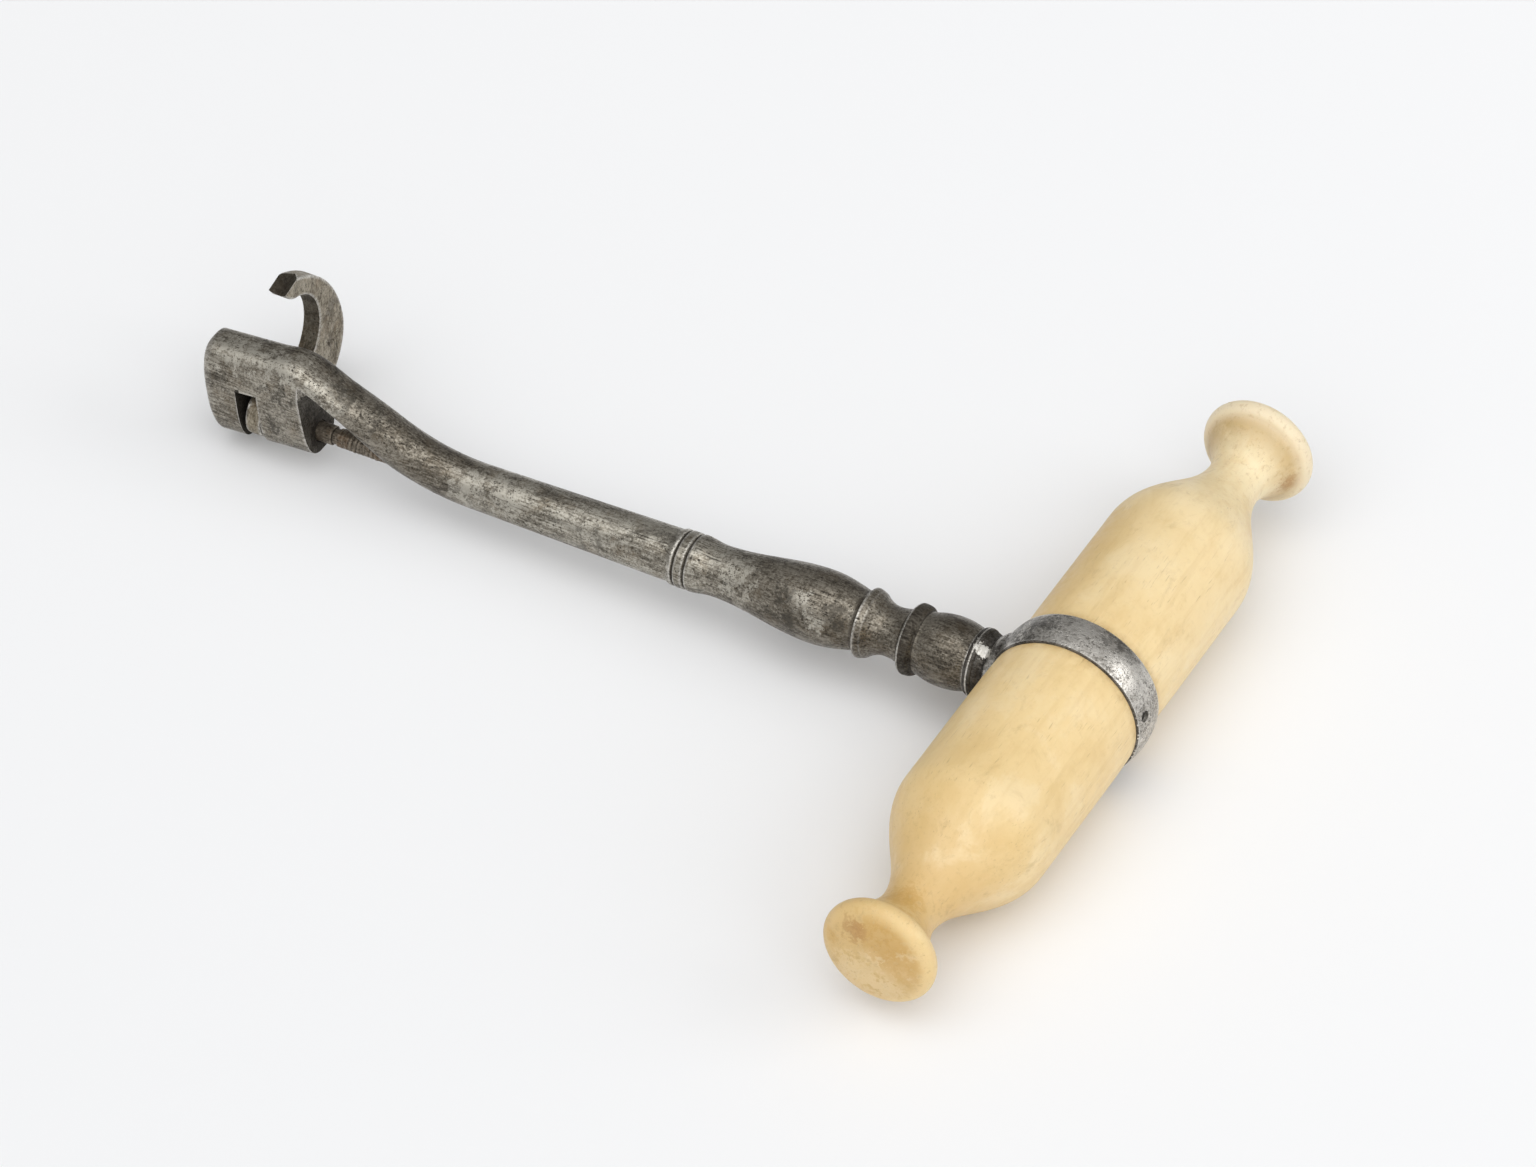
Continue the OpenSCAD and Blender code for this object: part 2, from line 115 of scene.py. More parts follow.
def grid_faces(rows, columns):
    """Corner numbers of a grid's faces, row by row; the last column joins the first."""
    i = np.arange(rows - 1)[:, None]
    j = np.arange(columns)[None, :]
    k = (j + 1) % columns
    return stack(i * columns + j, i * columns + k,
                 (i + 1) * columns + k, (i + 1) * columns + j).reshape(-1, 4)


def skin(name, grid):
    """A closed mesh object from a grid of level points; equal points merge, faces turn outwards."""
    mesh = bpy.data.meshes.new(name)
    mesh.from_pydata(lay(grid).reshape(-1, 3).tolist(), [], grid_faces(*grid.shape[:2]).tolist())
    shell = bmesh.new()
    shell.from_mesh(mesh)
    bmesh.ops.remove_doubles(shell, verts=shell.verts, dist=MERGE)
    bmesh.ops.recalc_face_normals(shell, faces=shell.faces)
    shell.to_mesh(mesh)
    shell.free()
    return placed(name, mesh)


def carve(piece, tool, how="DIFFERENCE"):
    """Cut the closed tool out of the piece, or join it on, and throw the tool away."""
    cut = piece.modifiers.new("cut", "BOOLEAN")
    cut.object, cut.operation, cut.solver = tool, how, "EXACT"
    made = bpy.data.meshes.new_from_object(
        piece.evaluated_get(bpy.context.evaluated_depsgraph_get()))
    piece.modifiers.clear()
    old, piece.data = piece.data, made
    bpy.data.meshes.remove(old)
    bpy.data.objects.remove(tool)
    made.name = piece.name


# %% [markdown]
# A turner's shapes are few: a cove or ogee, a bead, a quarter round. Each gives
# points of an outline: place along the axis, and radius. Years of use leave no true
# corner, so outlines are softened. Curve objects could hold them; arrays are easier
# to soften and to join.

# %% Outlines and turning
def ease(u):
    """Half a cosine wave: from 0 to 1 with level ends."""
    return (1 - np.cos(np.pi * np.clip(u, 0, 1))) / 2


def curve(start, end, rise):
    """Even steps from one point to another; rise is the share of the radius's way at each step."""
    u = np.linspace(0, 1, len(rise))
    return stack(start[0] + (end[0] - start[0]) * u, start[1] + (end[1] - start[1]) * rise)


def ogee(start, end, n=24):
    """From one point to another with level ends: a half cosine wave in radius."""
    return curve(start, end, ease(np.linspace(0, 1, n)))


def bead(start, end, crest, n=24):
    """A parabola that rises from start to the crest radius and falls to end."""
    u = np.linspace(0, 1, n)
    bulge = (crest - (start[1] + end[1]) / 2) * (1 - (2 * u - 1) ** 2)
    return curve(start, end, u) + stack(0 * u, bulge)


def quarter(foot, crest, n=10):
    """A quarter of an ellipse from its steep foot to its level crest."""
    a = np.linspace(0, np.pi / 2, n)
    return stack(foot[0] + (crest[0] - foot[0]) * (1 - np.cos(a)),
                 foot[1] + (crest[1] - foot[1]) * np.sin(a))


def rod(start, end, radius):
    """Outline of a plain cylinder with closed ends."""
    return np.array([(start, 0), (start, radius), (end, radius), (end, 0)])


def spaced(line, n):
    """The line again, in n points evenly spaced along it."""
    length = chain([0], np.cumsum(np.hypot(*np.diff(line, axis=0).T)))
    return np.stack([np.interp(np.linspace(0, length[-1], n), length, c) for c in line.T], -1)


def softened(outline, step, blur):
    """The outline in even steps, each point then the bell-weighted mean of those about a blur away."""
    total = np.cumsum(np.hypot(*np.diff(outline, axis=0).T))[-1]
    points = spaced(outline, int(total / step) + 1)
    reach = int(3 * blur / step) + 1
    bell = np.exp(-0.5 * (np.arange(-reach, reach + 1) * step / blur) ** 2)
    before, after = points[reach:0:-1], points[-2:-reach - 2:-1]
    padded = chain(2 * points[0] - before, points, 2 * points[-1] - after)
    return np.stack([np.convolve(c, bell / bell.sum(), "valid") for c in padded.T], -1)


def turned(outline, axis, columns):
    """Carry an outline round the handle's axis, y, or the shaft's, minus x: the radius times cosine
    and sine goes across and up."""
    a = np.linspace(0, 2 * np.pi, columns, endpoint=False)
    along = np.repeat(outline[:, :1], columns, 1)
    across, up = outline[:, 1:] * np.cos(a), outline[:, 1:] * np.sin(a)
    return np.stack([across, along, up] if axis == "handle" else [-along, across, up], -1)


# %% [markdown]
# Old iron is bright on ridges, which hands and cloths rub, and black in hollows.
# Cycles could find both while it renders; numbers stored on the mesh can also be
# set by hand. So each face corner gets two from how the surface bends there, and
# listed faces, such as a slot's wall, are painted dark all over, mostly as painted
# shade. Pieces are then shaded smooth except at corners and tied to a body, and
# the CAD node each stands for is hidden.

# %% Worn ridges, dirty hollows and painted shade
RIDGE_FROM, RIDGE_FULL = 300.0, 1200.0
CORNER = math.radians(38)
TINY = 1e-12


def read(items, name, width, kind=float):
    """One property of all the items of a mesh, as an array of so many columns."""
    values = np.empty(len(items) * width, kind)
    items.foreach_get(name, values)
    return values.reshape(-1, width)


def mark_bends(mesh, shade_and_dirt):
    """Store wear, and grime with painted shade. An edge's bend is twice the far end's height over the
    near end's tangent plane, by the length squared; the mean bend at a vertex, below or above zero, is
    a ridge or a hollow. The function for listed faces tells from their level middles how dark each is
    painted, mostly as painted shade."""
    place, normal = read(mesh.vertices, "co", 3), read(mesh.vertex_normals, "vector", 3)
    ends = read(mesh.edges, "vertices", 2, int)
    here, there = chain(ends, ends[:, ::-1]).T
    step = place[there] - place[here]
    bend = 2 * (step * normal[here]).sum(1) / np.maximum((step ** 2).sum(1), TINY)
    degree = np.maximum(np.bincount(here, minlength=len(place)), 1)
    mean = np.bincount(here, bend, len(place)) / degree
    mean = 0.5 * mean + 0.5 * np.bincount(here, mean[there], len(place)) / degree
    mean = mean[read(mesh.loops, "vertex_index", 1, int)[:, 0]]
    painted_dark = np.zeros(len(mesh.polygons))
    if shade_and_dirt:
        painted_dark = shade_and_dirt(level(read(mesh.polygons, "center", 3)))
    painted_dark = np.repeat(painted_dark, read(mesh.polygons, "loop_total", 1, int)[:, 0])
    ridge, hollow = (np.clip((way * mean - RIDGE_FROM) / (RIDGE_FULL - RIDGE_FROM), 0, 1)
                     for way in (-1, 1))
    for name, amount in (("wear", ridge * (painted_dark == 0)), ("grime_and_shade", np.maximum(hollow, painted_dark))):
        layer = mesh.attributes.new(name, "FLOAT", "CORNER")
        layer.data.foreach_set("value", amount.astype(np.float32))


def finish_piece(piece, node, body="tool", shade_and_dirt=None):
    """Shade, mark, tie and report one piece that stands for one CAD node."""
    mesh = piece.data
    mesh.polygons.foreach_set("use_smooth", np.ones(len(mesh.polygons), bool))
    mesh.set_sharp_from_angle(angle=CORNER)
    mark_bends(mesh, shade_and_dirt)
    mesh.materials.clear()
    mesh.materials.append(FINISHES[node])
    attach(piece, body)
    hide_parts(node)
    mesh.calc_loop_triangles()
    print(piece.name, "has", len(mesh.loop_triangles), "triangles")


# %% [markdown]
# Finishes are node trees. A few helpers keep them short: a noise at a size in
# millimetres, a remap with clamped ends, a tint over the colour so far. On pieces
# they read Object coordinates, so the patterns stay put when the claw swings.

# %% Node helpers
class Finish:
    """A material or world, its shader, the colour so far and a pen that adds nodes to it."""

    def __init__(self, owner, shader="Principled BSDF", place="Object", **constants):
        owner.use_nodes = True
        self.owner, self.tree = owner, owner.node_tree
        self.shader = self.tree.nodes[shader]
        for socket, value in constants.items():
            self.shader.inputs[socket.replace("_", " ")].default_value = value
        self.place = self.node("ShaderNodeTexCoord").outputs[place]
        self.colour = None

    def node(self, kind, *links, **settings):
        """A new node with its settings; each link is a socket's name and a value or an output."""
        made = self.tree.nodes.new(kind)
        for key, value in settings.items():
            setattr(made, key, value)
        for socket, value in links:
            if isinstance(value, bpy.types.NodeSocket):
                self.tree.links.new(value, made.inputs[socket])
            else:
                made.inputs[socket].default_value = value
        return made

    def noise(self, size, detail, rough, stretch=(1, 1, 1), shift=(0, 0, 0), warp=0.0):
        """Cloudy pattern with blots of about size millimetres, drawn out along an axis by stretch."""
        mapping = self.node("ShaderNodeMapping", ("Vector", self.place), ("Location", shift),
                            ("Scale", tuple(1 / s for s in stretch))).outputs[0]
        made = self.node("ShaderNodeTexNoise", ("Vector", mapping), ("Scale", 1 / (size * MM)),
                         ("Detail", detail), ("Roughness", rough), ("Distortion", warp))
        return made.outputs["Fac"]

    def cells(self, size, shift=(0, 0, 0)):
        """Distance to the nearest of points strewn about size millimetres apart, in cell widths."""
        moved = self.vector("ADD", self.place, shift)["Vector"]
        made = self.node("ShaderNodeTexVoronoi", ("Vector", moved), ("Scale", 1 / (size * MM)))
        return made.outputs["Distance"]

    def remap(self, value, low, high, to_low=0.0, to_high=1.0, how="SMOOTHSTEP"):
        """From low..high to to_low..to_high, held at the ends."""
        names = ("Value", "From Min", "From Max", "To Min", "To Max")
        links = zip(names, (value, low, high, to_low, to_high))
        return self.node("ShaderNodeMapRange", *links, interpolation_type=how).outputs["Result"]

    def vector(self, how, a, b):
        return self.node("ShaderNodeVectorMath", (0, a), (1, b), operation=how).outputs

    def spot(self, place, radius, ragged):
        """One in a ball about a level place, in millimetres, fading out over its outer half; ragged
        moves its edge in or out by a share of the radius."""
        far = self.vector("DISTANCE", self.place, tuple(lay(place)))["Value"]
        moved = self.math("ADD", far, self.times(ragged, radius * MM))
        return self.remap(moved, radius * MM, radius * MM / 2)

    def off_axis(self):
        """Distance from the handle's axis, in metres."""
        flat = self.vector("MULTIPLY", self.place, (1, 0, 1))["Vector"]
        return self.vector("DISTANCE", flat, (HANDLE_MID.x, 0, HANDLE_MID.z))["Value"]

    def math(self, how, a, b=0.0):
        return self.node("ShaderNodeMath", (0, a), (1, b), operation=how).outputs[0]

    def times(self, *values):
        """The product of all the values."""
        product = values[0]
        for value in values[1:]:
            product = self.math("MULTIPLY", product, value)
        return product

    def tint(self, tint, *amounts, how="MIX"):
        """Lay a tint over the colour so far, by the product of the amounts."""
        if isinstance(tint, tuple):
            tint = (*tint, 1.0)
        made = self.node("ShaderNodeMix", ("Factor", self.times(*amounts)), (6, self.colour),
                         (7, tint), data_type="RGBA", blend_type=how)
        self.colour = made.outputs[2]

    def ramp(self, value, *stops):
        """Colours at stops from 0 to 1, mixed in between."""
        made = self.node("ShaderNodeValToRGB", ("Fac", value))
        while len(made.color_ramp.elements) < len(stops):
            made.color_ramp.elements.new(0.5)
        for element, (at, colour) in zip(made.color_ramp.elements, stops):
            element.position, element.color = at, (*colour, 1.0)
        return made.outputs["Color"]

    def attribute(self, name):
        return self.node("ShaderNodeAttribute", attribute_name=name).outputs["Fac"]

    def axis(self, name):
        return self.node("ShaderNodeSeparateXYZ", ("Vector", self.place)).outputs[name]

    def connect(self, roughness, height, depth, strength):
        """Give the shader the colour so far, the roughness and bumps depth millimetres high."""
        bump = self.node("ShaderNodeBump", ("Height", height), ("Distance", depth * MM),
                         ("Strength", strength)).outputs["Normal"]
        for socket, value in (("Base Color", self.colour), ("Roughness", roughness), ("Normal", bump)):
            self.tree.links.new(value, self.shader.inputs[socket])
        return self.owner


FINISHES = {}

# %% [markdown]
# Old ivory is cream where it is dense and amber where sweat and oil soaked the
# thin necks and end grain, here more on the near half. Fine dark checks run with
# the grain, and faint stains cloud it. Light enters it a little before it comes
# back, so the shader scatters below the surface. A picture could be wrapped round
# it; noise in space needs no unwrapping. Single stains are balls with ragged edges.

# %% Ivory
GOLDEN, BROWN, PALE = (0.55, 0.315, 0.075), (0.4, 0.2, 0.055), (0.74, 0.57, 0.32)
IVORY_STAINS = (
    (1.4, -58.4, 4.6, 5.2, GOLDEN), (4.2, -58.2, 0.4, 3.6, GOLDEN), (-2.8, -58.7, -3.2, 4.0, PALE),
    (2.0, -58.6, -4.4, 3.2, PALE), (-2.6, -58.5, 4.4, 2.2, BROWN), (-6.4, -57.8, 1.5, 1.6, GOLDEN),
    (0.3, -50.2, 4.4, 3.4, GOLDEN), (7.4, 56.2, 2.7, 1.1, GOLDEN), (6.0, 54.6, -1.5, 2.2, BROWN))


def ivory():
    """Cream to amber along the handle, clouds and stains from noise, dark checks from noise drawn
    out along y. The named stains hold a level place, a radius and a tint."""
    f = Finish(bpy.data.materials.new("ivory"), IOR=1.5, Subsurface_Weight=0.1,
               Subsurface_Scale=0.003, Subsurface_Radius=(1.0, 0.6, 0.3))
    x, y = f.axis("X"), f.axis("Y")
    reach = f.math("ABSOLUTE", y)
    f.colour = f.ramp(
        f.remap(y, -0.06, 0.06, how="LINEAR"), (0.0, (0.62, 0.43, 0.18)), (0.06, (0.7, 0.49, 0.22)),
        (0.12, (0.7, 0.49, 0.22)), (0.22, (0.8, 0.6, 0.3)), (0.36, (0.85, 0.645, 0.33)),
        (0.7, (0.855, 0.67, 0.372)), (0.92, (0.88, 0.75, 0.49)), (0.955, (0.58, 0.43, 0.22)),
        (1.0, (0.7, 0.54, 0.31)))
    # Painted shade: the handle's left side is darker and more amber, more so on the far half.
    left = f.remap(x, HANDLE_MID.x, HANDLE_MID.x - 0.009)
    f.tint((0.84, 0.76, 0.58), left, f.remap(y, -0.03, 0.02, 0.05, 1.0), how="MULTIPLY")
    cloud = f.noise(8, 5, 0.62, stretch=(1, 1.4, 1), warp=0.3)
    f.tint((0.7, 0.48, 0.19), f.remap(cloud, 0.46, 0.68, 0.0, 0.45))
    f.tint((0.92, 0.77, 0.5), f.remap(cloud, 0.48, 0.34, 0.0, 0.35))
    streak = f.noise(1.5, 4, 0.6, stretch=(1, 12, 1), shift=(0.2, 0.1, 0.8))
    f.tint((0.64, 0.43, 0.17), f.remap(streak, 0.46, 0.66, 0.0, 0.2))
    stain = f.noise(3.5, 6, 0.72, stretch=(1, 1.8, 1), shift=(0, 0.7, 0.2), warp=0.5)
    necks = f.remap(reach, 0.024, 0.042, 0.3, 0.55)
    f.tint((0.45, 0.29, 0.11), f.remap(stain, 0.54, 0.74), necks)
    mottle = f.noise(1.1, 7, 0.74, shift=(0.4, 0.6, 0.1))
    soft = f.remap(mottle, 0.36, 0.62, 0.35, 0.85)
    ragged = f.remap(mottle, 0.3, 0.7, -0.75, 0.75, "LINEAR")
    for *place, radius, tint in IVORY_STAINS:
        f.tint(tint, f.spot(place, radius, ragged), soft)
    ends = f.remap(reach, 0.0535, 0.056)
    lip = f.times(ends, f.remap(f.off_axis(), 0.0062, 0.0078))
    # Painted highlight: the near knob's lip turns cream toward its right side, where the light falls.
    right = f.remap(x, HANDLE_MID.x - 0.005, HANDLE_MID.x + 0.005, 0.15, 0.6)
    f.tint((0.87, 0.67, 0.345), lip, right, f.remap(y, -0.01, 0.01, 1.0, 0.0))
    f.tint((0.88, 0.77, 0.56), lip, f.remap(y, -0.01, 0.01, 0.0, 0.8))
    freckle = f.remap(mottle, 0.52, 0.68)
    f.tint((0.47, 0.3, 0.115), freckle, f.remap(reach, 0.034, 0.052, 0.12, 0.42))
    aside = f.math("ABSOLUTE", f.math("SUBTRACT", y, BAND_Y))
    f.tint((0.46, 0.28, 0.1), f.remap(aside, 0.0052, 0.0033, 0.0, 0.6), soft)
    check = f.noise(0.22, 2, 0.5, stretch=(1, 12, 1), shift=(0.1, 0, 0.4))
    patchy = f.remap(f.noise(5, 3, 0.5, shift=(0.9, 0.2, 0)), 0.44, 0.6)
    checked = f.times(f.remap(check, 0.62, 0.72), patchy)
    f.tint((0.34, 0.2, 0.075), checked, 0.34)
    f.tint((0.5, 0.28, 0.08), f.attribute("grime_and_shade"), 0.6)
    rough = f.remap(f.noise(1.2, 4, 0.6), 0.3, 0.7, 0.36, 0.5)
    waves = f.times(f.noise(0.8, 5, 0.6, stretch=(1, 3, 1)), 0.5)
    return f.connect(rough, f.math("ADD", waves, f.times(checked, -0.8)), 0.05, 0.5)


FINISHES["handle"] = ivory()
print("ivory of", len(FINISHES["handle"].node_tree.nodes), "nodes")

# %% [markdown]
# The iron was forged, filed along its length and browned by a century of hands:
# a grey skin with dark blots, brown tints, fine pits and long file scratches,
# silver again on its ridges. Five trees could be drawn; one recipe with settings
# gives shaft, band, pin, claw and screw. Where one place was rubbed bright, or gets a
# painted highlight or painted shade, the settings name the place and a radius.

# %% Browned iron
TONE_RUN = 140


def iron(name, dark, mid, light, rust, rust_amount, rough, metal, bright=(0.66, 0.64, 0.6),
         lengthwise=(14, 1, 1), flecks=(), along=(), highlights_and_wear=(), darkened=()):
    """Tone is a sum of three noises put through a ramp from dark through mid to light; silver
    patches, dark blotches and rust tint it, pepper, pits, cracks, grime and painted shade darken
    it, wear and flecks brighten it. Along holds shares of the tone at distances along the shaft;
    flecks and two lists of spots, one of painted highlights and worn silver and one darkened,
    hold level places with a radius."""
    f = Finish(bpy.data.materials.new(name), Metallic=metal)
    blots = f.noise(4.0, 9, 0.74, stretch=(1.8, 1, 1), warp=0.4)
    grain = f.noise(0.38, 4, 0.7)
    scratch = f.noise(0.26, 3, 0.6, stretch=lengthwise, shift=(0.2, 0.5, 0))
    fine = f.math("ADD", f.times(grain, 0.36), f.times(scratch, 0.28))
    tone = f.math("ADD", f.times(blots, 0.36), fine)
    f.colour = f.ramp(tone, (0.405, dark), (0.485, mid), (0.565, light))
    silver = f.noise(5.5, 9, 0.74, stretch=(2, 1, 1), shift=(0.7, 0.2, 0.5))
    f.tint(light, f.remap(silver, 0.54, 0.64, 0.0, 0.5))
    rusty = f.noise(3, 5, 0.65, shift=(0.4, 0.1, 0.6))
    f.tint(rust, f.remap(rusty, 0.48, 0.7, 0.0, rust_amount))
    blotch = f.noise(4.5, 9, 0.76, stretch=(1.5, 1, 1), shift=(0.3, 0.9, 0.1), warp=0.6)
    f.tint(dark, f.remap(blotch, 0.52, 0.62, 0.0, 0.62))
    if along:
        run = f.remap(f.axis("X"), lay((-TONE_RUN, 0, 0))[0], lay((0, 0, 0))[0], how="LINEAR")
        stops = [(1 - d / TONE_RUN, (s, s * (0.9 + 0.1 * s), s * (0.8 + 0.2 * s))) for d, s in along]
        f.tint(f.ramp(run, *stops), 1.0, how="MULTIPLY")
    ragged = f.remap(f.noise(0.8, 8, 0.8, shift=(0.15, 0.45, 0.75)), 0.38, 0.54)
    edge = f.remap(f.noise(1.6, 7, 0.74, shift=(0.4, 0.6, 0.1)), 0.3, 0.7, -1.2, 1.2, "LINEAR")
    # Listed spots: painted highlights, some on worn silver, and darkened spots, mostly painted shade.
    for places, tint in ((highlights_and_wear, light), (darkened, dark)):
        for *place, radius in places:
            f.tint(tint, f.spot(place, radius, edge), ragged, 0.85)
    pepper = f.times(f.remap(f.cells(0.32), 0.36, 0.18),
                     f.remap(f.noise(1.7, 4, 0.6, shift=(0, 0.8, 0)), 0.44, 0.56))
    pit = f.times(f.remap(f.cells(0.9, shift=(0.3, 0, 0.2)), 0.22, 0.12),
                  f.remap(f.noise(5, 3, 0.5, shift=(0.5, 0.3, 0)), 0.44, 0.54))
    longer = tuple(2 * s if s > 1 else s for s in lengthwise)
    crack = f.times(f.remap(f.noise(0.22, 1, 0.5, stretch=longer), 0.62, 0.7),
                    f.remap(f.noise(4, 2, 0.5, shift=(0.1, 0.9, 0.4)), 0.48, 0.58))
    dirt = f.math("MAXIMUM", f.math("MAXIMUM", pepper, pit), crack)
    f.tint((0.026, 0.022, 0.017), dirt, 0.62)
    worn = f.times(f.attribute("wear"), f.remap(grain, 0.35, 0.6, 0.25, 1.0))
    for *place, radius in flecks:
        worn = f.math("MAXIMUM", worn, f.remap(f.spot(place, radius, edge), 0.35, 0.5))
    # Grime in hollows and the painted shade on listed faces turn near black.
    grime_and_shade = f.attribute("grime_and_shade")
    f.tint((0.022, 0.018, 0.014), grime_and_shade, 0.85)
    f.tint(bright, worn, 0.85)
    base = f.remap(tone, 0.4, 0.58, rough + 0.12, rough - 0.06)
    roughness = f.math("ADD", f.math("SUBTRACT", base, f.times(worn, 0.12)),
                       f.times(f.math("MAXIMUM", grime_and_shade, dirt), 0.3))
    height = f.math("ADD", f.times(grain, 0.5),
                    f.math("SUBTRACT", f.times(scratch, 0.4), f.times(dirt, 1.2)))
    return f.connect(roughness, height, 0.07, 0.6)


# The silver spots are painted highlights along the bolster's top edge, the crank and the stem, and on
# the baluster also worn silver; the dark spots on the crank are painted shade, the others darken the
# bolster and the baluster.
FINISHES["shaft"] = iron(
    "browned_iron", dark=(0.06, 0.053, 0.042), mid=(0.222, 0.202, 0.165), light=(0.468, 0.443, 0.382),
    rust=(0.19, 0.148, 0.095), rust_amount=0.45, rough=0.35, metal=0.8, bright=(0.58, 0.56, 0.52),
    along=((138, 0.84), (122, 0.8), (117, 0.62), (98, 0.6), (90, 1.0), (64, 1.0), (57, 1.0),
           (47, 0.68), (36, 0.56), (32, 0.6), (24, 0.56), (14, 0.48)),
    highlights_and_wear=((-133, -1.6, 11.2, 2.8), (-130, -2.0, 11.4, 2.8), (-126.5, -2.2, 11.6, 2.8),
              (-123, -2.6, 11.5, 2.8), (-119, -3.1, 10.0, 2.3), (-115.5, -3.0, 8.4, 1.8),
              (-88, -2.7, 2.6, 3.2), (-94, -2.9, 1.8, 3.0), (-51.5, -2.8, 2.8, 3.2),
              (-40.2, -4.0, 3.4, 1.9), (-37.3, -5.1, 1.4, 1.5)),
    darkened=((-123.5, -4.0, 7.4, 1.9), (-125.3, -4.0, 1.9, 1.6), (-114.3, -1.2, 9.4, 2.2),
              (-109.9, -1.8, 7.0, 2.4), (-43.3, -3.7, 3.6, 1.7), (-41.6, -5.2, 0.6, 2.0),
              (-34.6, -3.4, 3.3, 2.2)))
# The band's silver spots are a painted highlight, its dark spots painted shade at its top and about the
# boss.
FINISHES["handle_band"] = iron(
    "band_iron", dark=(0.13, 0.12, 0.107), mid=(0.43, 0.405, 0.365), light=(0.7, 0.67, 0.62),
    rust=(0.17, 0.14, 0.1), rust_amount=0.25, rough=0.32, metal=0.9, bright=(0.74, 0.72, 0.67),
    flecks=((-13.1, -1.9, 4.3, 1.3),), highlights_and_wear=((1.0, 0, 12, 5.0), (10.0, 0, 7, 4.0)),
    darkened=((-9.5, 0, 8, 5.5), (-6.0, 0, 10.4, 3.6), (5.5, 2.4, 10.6, 2.6),
              (-11.2, -2.6, 4.6, 2.8), (-11.2, -4.2, 1.0, 3.2)))
FINISHES["band_pin"] = iron(
    "pin_iron", dark=(0.03, 0.027, 0.024), mid=(0.07, 0.064, 0.056), light=(0.14, 0.13, 0.115),
    rust=(0.1, 0.07, 0.04), rust_amount=0.4, rough=0.45, metal=0.8)
FINISHES["claw"] = iron(
    "claw_iron", dark=(0.092, 0.075, 0.052), mid=(0.215, 0.183, 0.131), light=(0.37, 0.332, 0.26),
    rust=(0.24, 0.175, 0.105), rust_amount=0.45, rough=0.46, metal=0.7, lengthwise=(1, 2, 5))
FINISHES["claw_screw"] = iron(
    "rusty_iron", dark=(0.04, 0.031, 0.022), mid=(0.105, 0.085, 0.061), light=(0.22, 0.19, 0.15),
    rust=(0.15, 0.09, 0.045), rust_amount=0.6, rough=0.5, metal=0.6, bright=(0.27, 0.23, 0.18))
print("finishes:", ", ".join(m.name for m in FINISHES.values()))

# %% [markdown]
# The cross handle is one turned piece of ivory: two barrels that ease into slim
# necks and flare to domed end knobs. The near half is a little thicker, and a step
# for the band parts the two. A mesh outline could be spun; here the outline is
# carried round in one array sum.

# %% Handle
BARREL_NEAR, BARREL_FAR, SEAT = 11.4, 11.05, 10.95
BARREL_HALF, DRESS_AT, DRESS_DEEP = 30.0, 8.0, 0.1
NECK_AT, NECK_R, FLARE_POWER = 48.9, 4.15, 1.8
RIM_AT, KNOB_R, KNOB_DOME, DOME_POWER = 57.0, 8.4, 2.3, 0.6
LIP_W, LIP_DEEP = 1.6, 1.1
BAND_HALF, ASIDE = 3.1, 0.5


def handle_end(barrel):
    """Barrel to neck as an ogee, neck to crease as a power curve, the lip as a quarter round,
    and a dome whose radius is a power of the cosine."""
    u = np.linspace(0, 1, 40)
    lip_at, crease = RIM_AT - LIP_W, KNOB_R - LIP_DEEP
    flare = curve((NECK_AT, NECK_R), (lip_at, crease), u ** FLARE_POWER)
    lip = quarter((lip_at, crease), (RIM_AT, KNOB_R), 16)
    a = u * np.pi / 2
    dome = stack(RIM_AT + KNOB_DOME * np.sin(a), KNOB_R * np.cos(a) ** DOME_POWER)
    neck = ogee((BARREL_HALF, barrel), (NECK_AT, NECK_R), 40)
    return chain(neck, flare[1:], lip[1:], dome[1:])


near_end = handle_end(BARREL_NEAR)[::-1] * (-1, 1)
step_at, seat_end = -BAND_HALF - ASIDE, BAND_HALF - ASIDE
waist = [(-DRESS_AT, BARREL_NEAR), (step_at, BARREL_NEAR - DRESS_DEEP), (step_at, SEAT),
         (seat_end, SEAT), (DRESS_AT, BARREL_FAR)]
handle_outline = chain(near_end, waist, handle_end(BARREL_FAR))
handle_outline = softened(handle_outline, step=0.3, blur=0.2)
handle_outline[[0, -1], 1] = 0
handle = skin("turned_handle", turned(handle_outline + (ASIDE, 0), "handle", 128))
finish_piece(handle, "handle")

# %% [markdown]
# An iron band clasps the handle and carries a boss with a flange, in which the
# shaft's tenon sits. One turned skin can't hold a boss that stands square to the
# ring. So the band and boss are joined, and the room of the handle, the tenon's
# hole and the pin's hole are cut, as a smith would drift and drill them.

# %% Band with boss and flange
GAP = 0.02
BAND_EDGE_R, BAND_CROWN_R, CHAMFER_W, CHAMFER_DEEP = 11.55, 11.95, 0.1, 0.15
FLANGE_FACE, FLANGE_R, FLANGE_T, FLANGE_EDGE = 14.85, 5.0, 1.3, 0.25
BOSS_R, BOSS_FLARE, BOSS_PLAIN = 4.4, ((9.0, 1.6), (11.2, 0.9), (12.0, 0.25)), 12.4
TENON_R, TENON_HOLE, PAST_BAND = 2.5, (9, 16), 9
PIN_R, PIN_ASIDE, PIN_ANGLE, PIN_HOLE = 0.8, 1.4, math.radians(10), (8, 13)

